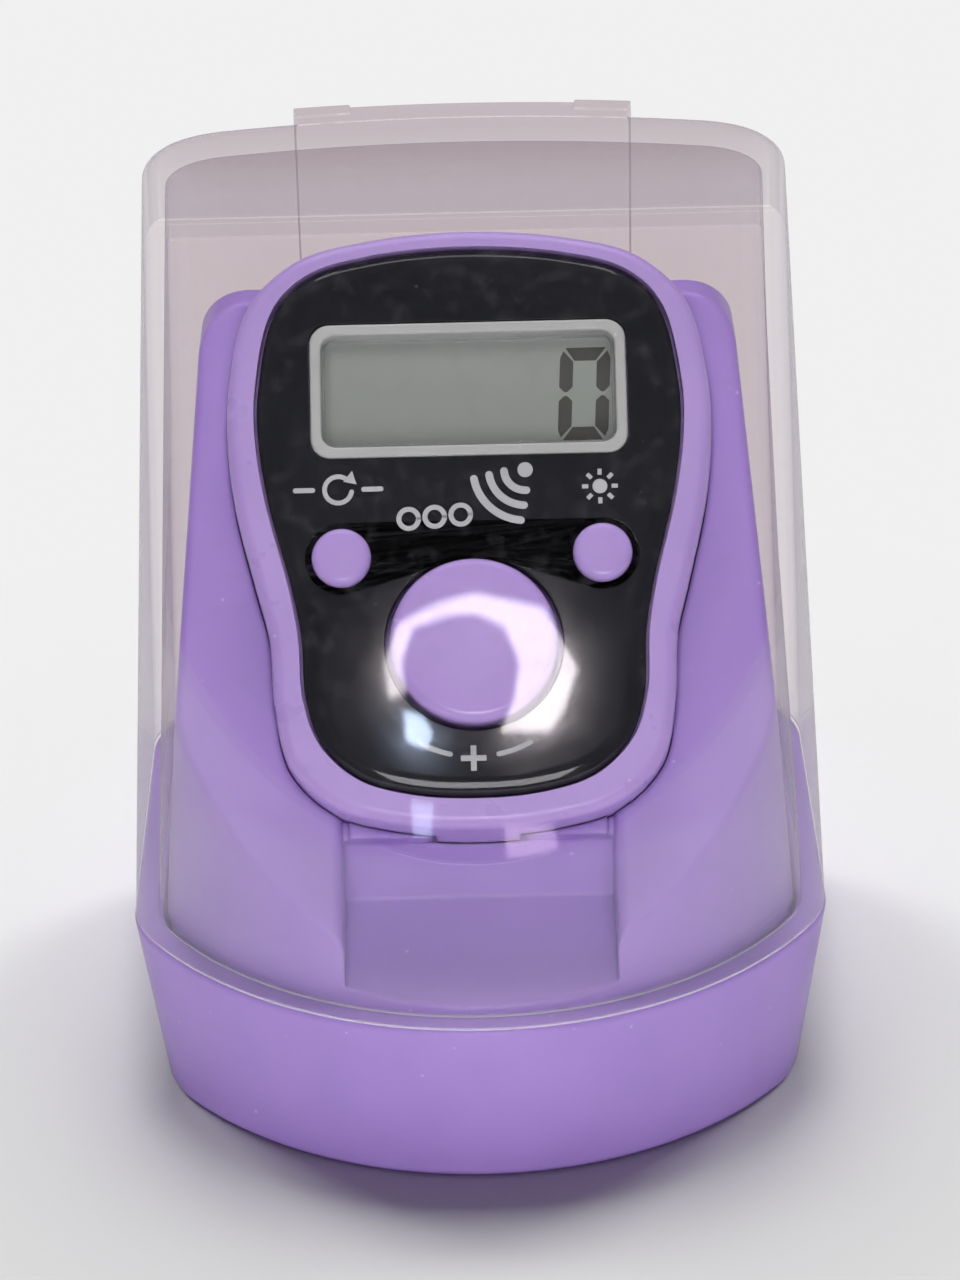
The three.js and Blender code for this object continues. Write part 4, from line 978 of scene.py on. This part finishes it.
def finger_strap():
    """Soft band under the counter, with rounded edges"""
    rings = []
    for inside, across in rounded_rectangle(1.3, 7.6, 0.35, (0.65, 0), 4):
        corner = STRAP_DROP * 0.48 - inside
        size = (24.6 - 2 * inside, STRAP_DROP - 2 * inside, corner, (0, -0.3 - STRAP_DROP / 2), 16)
        rings.append([(x, STRAP_UP + across, out) for x, out in rounded_rectangle(*size)])
    band = skinned("finger_band", rings, hoop=True, place=on_counter)
    dress(band, "counter", "silicone", lilac_silicone, "finger_strap")


def battery_door():
    """Round lid with a coin slot, and two ears that turn behind the edge of its hole"""
    lid = slab("battery_lid", disc(6.35, COUNT_CENTRE), 0, 1)
    neck = slab("neck", disc(6, COUNT_CENTRE), 0.5, 1.65)
    ears = slab("ears", rounded_rectangle(14.6, 2.4, 0.4, COUNT_CENTRE, 4), 1.2, 1.65)
    slot = slab("coin_slot", rounded_rectangle(9.5, 1.3, 0.6, COUNT_CENTRE, 6), -1, 0.5)
    combine(lid, "UNION", neck, ears)
    combine(lid, "DIFFERENCE", slot)
    dress(soften(lid, 0.12, 2), "cell_lid", "pale_lilac", pale_lilac_abs, "battery_door")


def band_outline(centre, radius, width, start, end, steps=16):
    """A curved stroke with round ends"""
    a, b = radians(start), radians(end)
    half = width / 2
    tip = (centre[0] + radius * cos(b), centre[1] + radius * sin(b))
    root = (centre[0] + radius * cos(a), centre[1] + radius * sin(a))
    outline = arc(centre, radius + half, a, b, steps)
    outline += arc(tip, half, b, b + pi, 6)[1:-1]
    outline += arc(centre, radius - half, b, a, steps)
    return outline + arc(root, half, a + pi, a + 2 * pi, 6)[1:-1]


def printed(name, *outlines):
    """Marks of ink on the black front"""
    marks = [slab("mark", outline, THICKNESS - 0.01, THICKNESS + 0.03) for outline in outlines]
    pick(*marks)
    bpy.ops.object.join()
    ink = bpy.context.object
    ink.name = ink.data.name = name
    dress(ink, "counter", "gloss_black", grey_ink)


def marks():
    """Small plain signs for the keys: back to the start, lamp, count on, and a beep"""
    turn_back = (-8.9, 2.6)
    tip = ((0.35, 0.55), (1.25, 0.35), (0.95, 1.3))
    head = [(turn_back[0] + x, turn_back[1] + y) for x, y in tip]
    dashes = [rounded_rectangle(1.5, 0.34, 0.16, (turn_back[0] + x, 2.6), 4) for x in (-2.3, 2.3)]
    printed("turn_back_mark", band_outline(turn_back, 0.92, 0.32, 60, 350), head, *dashes)
    lamp = (8.7, 2.45)
    rays = []
    for i in range(8):
        t = radians(45 * i)
        side = Vector((-sin(t), cos(t))) * 0.14
        near, far = (Vector(lamp) + Vector((cos(t), sin(t))) * r for r in (0.78, 1.2))
        rays.append([tuple(near - side), tuple(far - side), tuple(far + side), tuple(near + side)])
    printed("lamp_mark", disc(0.5, lamp, 28), *rays)
    beads = [
        band_outline((x, 0.5 + 0.06 * (x + 4)), 0.66, 0.34, 5, 355, 28)
        for x in (-4.2, -2.45, -0.7)
    ]
    printed("bead_marks", *beads)
    source = (3.7, 3.7)
    waves = [band_outline(source, r, 0.52, *turns) for r, turns in
             ((1.42, (182, 272)), (2.45, (187, 267)), (3.5, (189, 264)))]
    printed("beep_mark", disc(0.52, source, 28), *waves)
    cross = [(x - 0.2, y - 15.9) for x, y in (
        (-0.19, -0.85), (0.19, -0.85), (0.19, -0.19), (0.85, -0.19), (0.85, 0.19), (0.19, 0.19),
        (0.19, 0.85), (-0.19, 0.85), (-0.19, 0.19), (-0.85, 0.19), (-0.85, -0.19), (-0.19, -0.19),
    )]
    sweeps = [band_outline(COUNT_CENTRE, 7.75, 0.34, *turns) for turns in ((240, 257), (281, 298))]
    printed("count_mark", cross, *sweeps)


base_cup()
tray()
clear_cover()
housing_front()
housing_back()
face_panel()
window_frame()
display()
button("count_key", "count_key", COUNT_CENTRE, "count_button", COUNT_RADIUS, **LARGE_KEY)
button("reset_key", "reset_key", SIDE_BUTTONS[0], "reset_button", SIDE_RADIUS, **SMALL_KEY)
button("light_key", "light_key", SIDE_BUTTONS[1], "light_button", SIDE_RADIUS, **SMALL_KEY)
finger_strap()
battery_door()
marks()

CARRIED = {
    stamped_steel: (
        "screw_top_left", "screw_top_right", "screw_low_left", "screw_low_right", "count_switch",
        "reset_switch", "light_switch", "button_cell", "cell_contact_top", "cell_contact_side",
    ),
    rolled_brass: ("sounder",),
    milky_acrylic: ("light_guide", "backlight_lamp"),
    black_rubber: ("contact_strip",),
    solder_mask: ("circuit_board",),
    black_epoxy: ("chip",),
}
for finish, names in CARRIED.items():
    for name in names:
        nodes[name].material_slots[0].material = finish


# Studio

def seen(material):
    """1 where a surface is looked at, straight or in a mirror or glass, and 0 where it lights"""
    rays = add(material, "ShaderNodeLightPath")
    share = rays["Is Camera Ray"]
    for other in ("Is Glossy Ray", "Is Transmission Ray"):
        pair = {0: share, 1: rays[other]}
        share = add(material, "ShaderNodeMath", pair, operation="MAXIMUM")["Value"]
    return share


# How far from the middle of the case the floor starts and ends to pass into one even pale grey
FLOOR_EVEN = (30, 80)
PAPER_CLOUD = 60


def floor():
    """Pale matt paper, that is seen as one even pale grey away from the case"""
    bpy.ops.object.select_all(action="DESELECT")
    bpy.ops.mesh.primitive_plane_add(size=6)
    sheet = bpy.context.object
    sheet.name = "floor"
    paper = blank("matt_paper")
    place = add(paper, "ShaderNodeTexCoord")["Object"]
    cloud = add(paper, "ShaderNodeTexNoise", {"Vector": place, "Scale": per_metre(PAPER_CLOUD)})
    colour = add(paper, "ShaderNodeMix", {
        0: cloud["Fac"], 6: tone("#f4f4f4"), 7: tone("#f6f6f5"),
    }, data_type="RGBA")
    matt = add(paper, "ShaderNodeBsdfDiffuse", {"Color": colour[2], "Roughness": 0.6})
    away = add(paper, "ShaderNodeVectorMath", {0: place}, operation="LENGTH")["Value"]
    even = add(paper, "ShaderNodeEmission", {"Color": tone("#f0f0f0"), "Strength": 1.0})
    far = add(paper, "ShaderNodeMapRange", {
        "Value": away, "From Min": FLOOR_EVEN[0] * MM, "From Max": FLOOR_EVEN[1] * MM,
    })
    share = add(paper, "ShaderNodeMath", {
        0: far["Result"], 1: seen(paper),
    }, operation="MULTIPLY")
    both = add(paper, "ShaderNodeMixShader", {
        0: share["Value"], 1: matt["BSDF"], 2: even["Emission"],
    })
    add(paper, "ShaderNodeOutputMaterial", {"Surface": both["Shader"]})
    sheet.data.materials.append(paper)
    return sheet


def lamp(name, place, power, size, linked=None, state="EXCLUDE", mirrored=False):
    """A square soft light, in metres and watts, aimed at the middle of the case. It leaves out
    what is linked to it or, where the state is INCLUDE, lights that alone."""
    light = bpy.data.lights.new(name, "AREA")
    light.energy = power
    light.size = size
    holder = bpy.data.objects.new(name, light)
    bpy.context.scene.collection.objects.link(holder)
    holder.location = place
    aim = Vector((0, 0, 0.025)) - Vector(place)
    holder.rotation_euler = aim.to_track_quat("-Z", "Y").to_euler()
    holder.visible_camera = False
    holder.visible_glossy = mirrored
    if linked:
        flag = bpy.data.collections.new(name + "_flag")
        flag.objects.link(linked)
        flag.collection_objects[0].light_linking.link_state = state
        holder.light_linking.receiver_collection = flag
    return holder


# The window mirrors this point of the picture to this place, and one pixel to this length there
MIRRORED_POINT = (480, 662)
MIRRORED_PLACE = Vector((0.4, -332.6, 422.3))
MIRRORED_UP = Vector((0, 0.778, 0.629))
MIRRORED_PIXEL = 0.186


def card(name, colour, strength, pixels):
    """A bright card in front, that the window mirrors at these points of the picture"""
    corners = []
    for column, row in pixels:
        across = (column - MIRRORED_POINT[0]) * MIRRORED_PIXEL
        up = (MIRRORED_POINT[1] - row) * MIRRORED_PIXEL
        corners.append((MIRRORED_PLACE + Vector((across, 0, 0)) + MIRRORED_UP * up) * MM)
    bpy.ops.object.select_all(action="DESELECT")
    bpy.ops.mesh.primitive_circle_add(vertices=len(corners), radius=MM, fill_type="NGON")
    sheet = bpy.context.object
    sheet.name = name
    for vertex, corner in zip(sheet.data.vertices, corners):
        vertex.co = corner
    glow = blank(name)
    light = add(glow, "ShaderNodeEmission", {"Color": tone(colour), "Strength": strength})
    add(glow, "ShaderNodeOutputMaterial", {"Surface": light["Emission"]})
    sheet.data.materials.append(glow)
    sheet.visible_camera = False
    sheet.visible_diffuse = False
    sheet.visible_shadow = False


def studio(sheet):
    """A dim room with a pale wall, soft lamps, and cards for the window to mirror"""
    room = bpy.data.worlds.new("room")
    bpy.context.scene.world = room
    room.use_nodes = True
    room.node_tree.nodes.clear()
    way = add(room, "ShaderNodeTexCoord")["Generated"]
    parts = add(room, "ShaderNodeSeparateXYZ", {"Vector": way})
    behind = add(room, "ShaderNodeMapRange", {
        "Value": parts["Y"], "From Min": -0.4, "From Max": 0.3,
    })
    colour = add(room, "ShaderNodeMix", {
        0: behind["Result"], 6: tone("#4a4a4c"), 7: tone("#f0f0f0"),
    }, data_type="RGBA")
    light = add(room, "ShaderNodeBackground", {"Color": colour[2], "Strength": 0.25})
    wall = add(room, "ShaderNodeBackground", {"Color": tone("#efefef"), "Strength": 1.0})
    looked = add(room, "ShaderNodeLightPath")["Is Camera Ray"]
    both = add(room, "ShaderNodeMixShader", {
        0: looked, 1: light["Background"], 2: wall["Background"],
    })
    add(room, "ShaderNodeOutputWorld", {"Surface": both["Shader"]})
    # The main light comes from above and behind, and throws the shadow that lies in front
    lamp("key_above", (0.0, 0.28, 0.72), 3.7, 0.3)
    # Two fills light what faces the camera, and leave the floor's shadow alone
    lamp("front_low", (0.0, -0.68, 0.2), 2.3, 0.3, sheet)
    lamp("front_high", (0.0, -0.42, 0.55), 1.1, 0.3, sheet)
    # Two washes lift the floor on both sides of the case
    for side in (-1, 1):
        lamp(f"floor_wash_{side + 2}", (0.84 * side, 0.84, 0.84), 9.0, 0.4, sheet, "INCLUDE")
    # Two lamps give highlights only: along the upper edges, and on what is tilted to the front
    for name, place, power, size in (("sheen", (0.0, 0.28, 0.72), 2.0, 0.5),
                                     ("glint", (0.0, -0.6, 0.26), 0.9, 0.22)):
        lamp(name, place, power, size, mirrored=True).visible_diffuse = False
    # The window mirrors a ring-shaped lamp, two scraps of sky and a pink wall
    card("round_lamp", "#fff8fb", 18, [
        (388, 694), (383, 660), (398, 619), (438, 600), (476, 590), (545, 607), (577, 668),
        (562, 712), (548, 731), (498, 731), (512, 700), (519, 662), (505, 626), (478, 612),
        (452, 612), (413, 624), (401, 658), (404, 690),
    ])
    card("sky_low", "#cfe2ff", 26, [(401, 706), (420, 712), (431, 730), (424, 745), (404, 738)])
    card("sky_lower", "#cfe2ff", 11, [(407, 798), (429, 800), (427, 834), (409, 833)])
    card("pink_wall", "#f4dcf4", 8, [(500, 824), (549, 825), (556, 858), (502, 858)])


studio(floor())
